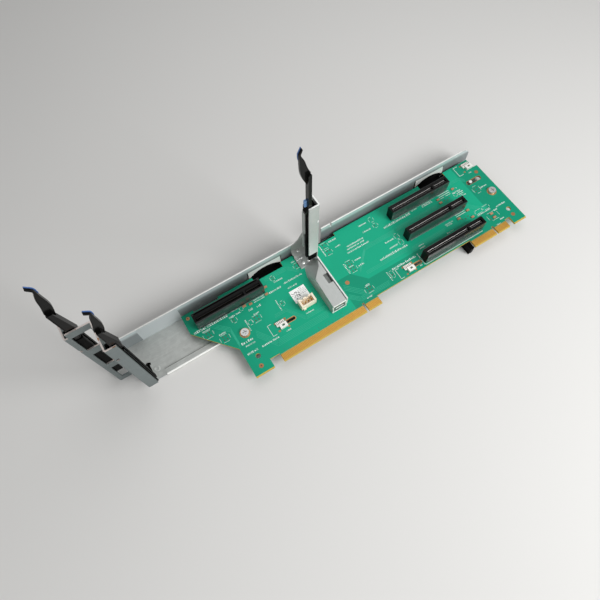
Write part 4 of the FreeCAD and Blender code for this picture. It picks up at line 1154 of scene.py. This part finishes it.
# foot and gusset
armBands = [(47.0, 61.4, 57.0, 66.0, (0.34, 0.36, 0.345)), (44.0, 61.4, 66.0, 72.0, (0.42, 0.445, 0.42))]
steelRows = {
    # painted light: the front faces of the tray and the arm take their own tones, bluer on the tray, paler
    # on the arm
    "traySteel": ((0.335, 0.35, 0.335), (0.71, 0.73, 0.705), 0.5,
                  {"edge": paleEdge, "metal": 0.7, "bands": trayBands, "wall": (0.31, 0.345, 0.355),
                   # painted shade: the flange face darkens towards its foot
                   "paintedShadeClimb": {"from": 0.0145, "to": 0.0178, "top": (0.61, 0.68, 0.69)}}),
    "armSteel": ((0.40, 0.42, 0.405), (0.62, 0.635, 0.62), 0.5,
                 {"along": crossing, "metal": 0.65, "bands": armBands, "wall": (0.72, 0.76, 0.73)}),
    "uprightSteel": ((0.44, 0.46, 0.45), (0.62, 0.64, 0.625), 0.55,
                     {"along": rising, "edge": brightEdge, "metal": 0.5,
                      # painted light: the upright is painted paler towards its foot
                      "fade": {"from": 0.014, "to": 0.058, "foot": (0.84, 0.86, 0.845)}}),
    "bracketSteel": ((0.175, 0.203, 0.205), (0.30, 0.34, 0.341), 0.55, {"along": rising, "edge": pinkEdge}),
    "tabShade": ((0.14, 0.15, 0.145), (0.24, 0.25, 0.24), 0.5, {}),
    # painted highlight: near white steel for the rivet domes and the bend's roll
    "rivetSteel": ((0.80, 0.81, 0.79), (0.95, 0.96, 0.94), 0.22, {"along": even, "metal": 0.5}),
    # painted shade: the steel latch pins are painted near black, as seen in the shaded windows
    "pinBlack": ((0.02, 0.02, 0.02), (0.06, 0.06, 0.06), 0.4, {"along": even}),
    "pinSteel": ((0.51, 0.52, 0.51), (0.73, 0.74, 0.73), 0.34, {"along": even}),
    "clipTin": ((0.76, 0.75, 0.70), (0.95, 0.94, 0.90), 0.4,
                {"along": (300.0, 900.0, 900.0), "metal": 0.35}),
    # painted shade: the contacts deep in the grooves are painted dark
    "contactDull": ((0.10, 0.09, 0.07), (0.20, 0.18, 0.14), 0.45, {"along": even}),
    "springTin": ((0.46, 0.45, 0.44), (0.62, 0.61, 0.59), 0.35, {"along": even}),
    # painted shade: a darkened copy of the spring tin for the storage slot's tips
    "springDim": ((0.02, 0.02, 0.019), (0.05, 0.05, 0.047), 0.4, {"along": even}),
    "tailTin": ((0.26, 0.28, 0.27), (0.42, 0.44, 0.43), 0.4, {"along": even, "metal": 0.6}),
    "bareCopper": ((0.36, 0.15, 0.06), (0.55, 0.27, 0.13), 0.45, {"along": (500.0, 500.0, 500.0)}),
}
finishes = {"solderResist": solderResist(boardLook), "platedGold": platedGold(goldLook),
            "slotBlack": slotPlastic(slotLook)}
for build, rows in ((moulded, plasticRows), (sheetSteel, steelRows)):
    for name, (dark, light, roughness, extra) in rows.items():
        finishes[name] = build(name, dark, light, roughness, **extra)

# which nodes wear which finish
latches = ("rear", "front", "centre")
wornBy = {
    "solderResist": ["circuit_board"],
    "platedGold": ["main_edge_contacts", "small_edge_contacts", "header_pins"],
    "slotBlack": slotLook["nodes"],
    "contactDull": [node + "_contacts" for node in slotLook["nodes"]],
    "traySteel": ["tray"], "bracketSteel": ["end_bracket"], "armSteel": ["centre_bracket"],
    "uprightSteel": ["centre_upright"],
    "guideBlack": ["rear_end_guide", "front_end_guide", "centre_guide", "board_foot"],
    "leverBlack": [latch + "_lever" for latch in latches],
    "touchBlue": [latch + "_touch" for latch in latches],
    "pinBlack": [latch + "_pin" for latch in latches],
    "tabBlue": ["centre_tab"], "pinSteel": ["board_screws"], "clipTin": ["grounding_clips"],
    "headerCream": ["power_header"], "chipTan": ["chip_parts"],
}
for finish, nodes in wornBy.items():
    for node in nodes:
        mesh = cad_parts[node].data
        mesh.materials.clear()
        mesh.materials.append(finishes[finish])
print("finishes set on", sum(len(nodes) for nodes in wornBy.values()), "nodes")

setCamera(cameraLook)
boardPrint(printLook, "printWhite")
boardLands(landLook, "bareCopper", "solderDark")
boardTracks(trackLook, "trackResist")
paperLabel(labelLook, "labelPaper")
labelInk(inkLook, "labelInk")
for slotNode in slotLook["nodes"]:
    springTips(tipLook, slotNode, "springDim" if slotNode == "storage_slot" else "springTin")
powerHeader(headerLook, "headerCream")
clipSlits(clipLook, "clipBrown")
floorDimple(dimpleLook, "traySteel")
for latch in latches:
    leverRim(rimLook, latch + "_lever", latch + "_latch", "leverBlack")
rivetDomes(rivetLook, "rivetSteel")
wallLip(lipLook, "uprightSteel")
armEnd(armEndLook, "uprightSteel", "bracketSteel")
armTab(armTabLook, "tabShade")
slotTails(tailLook, "tailTin")
slotRibs(ribLook, "slotBlack")
floorShadeSheet(shadeSheetLook, "filmBlack")
slotPeg(pegLook, "guideBlack")
bendHighlight(bendHighlightLook, "rivetSteel")
setStage(stageLook)
bpy.context.scene.view_settings.view_transform = "Standard"
deselect()
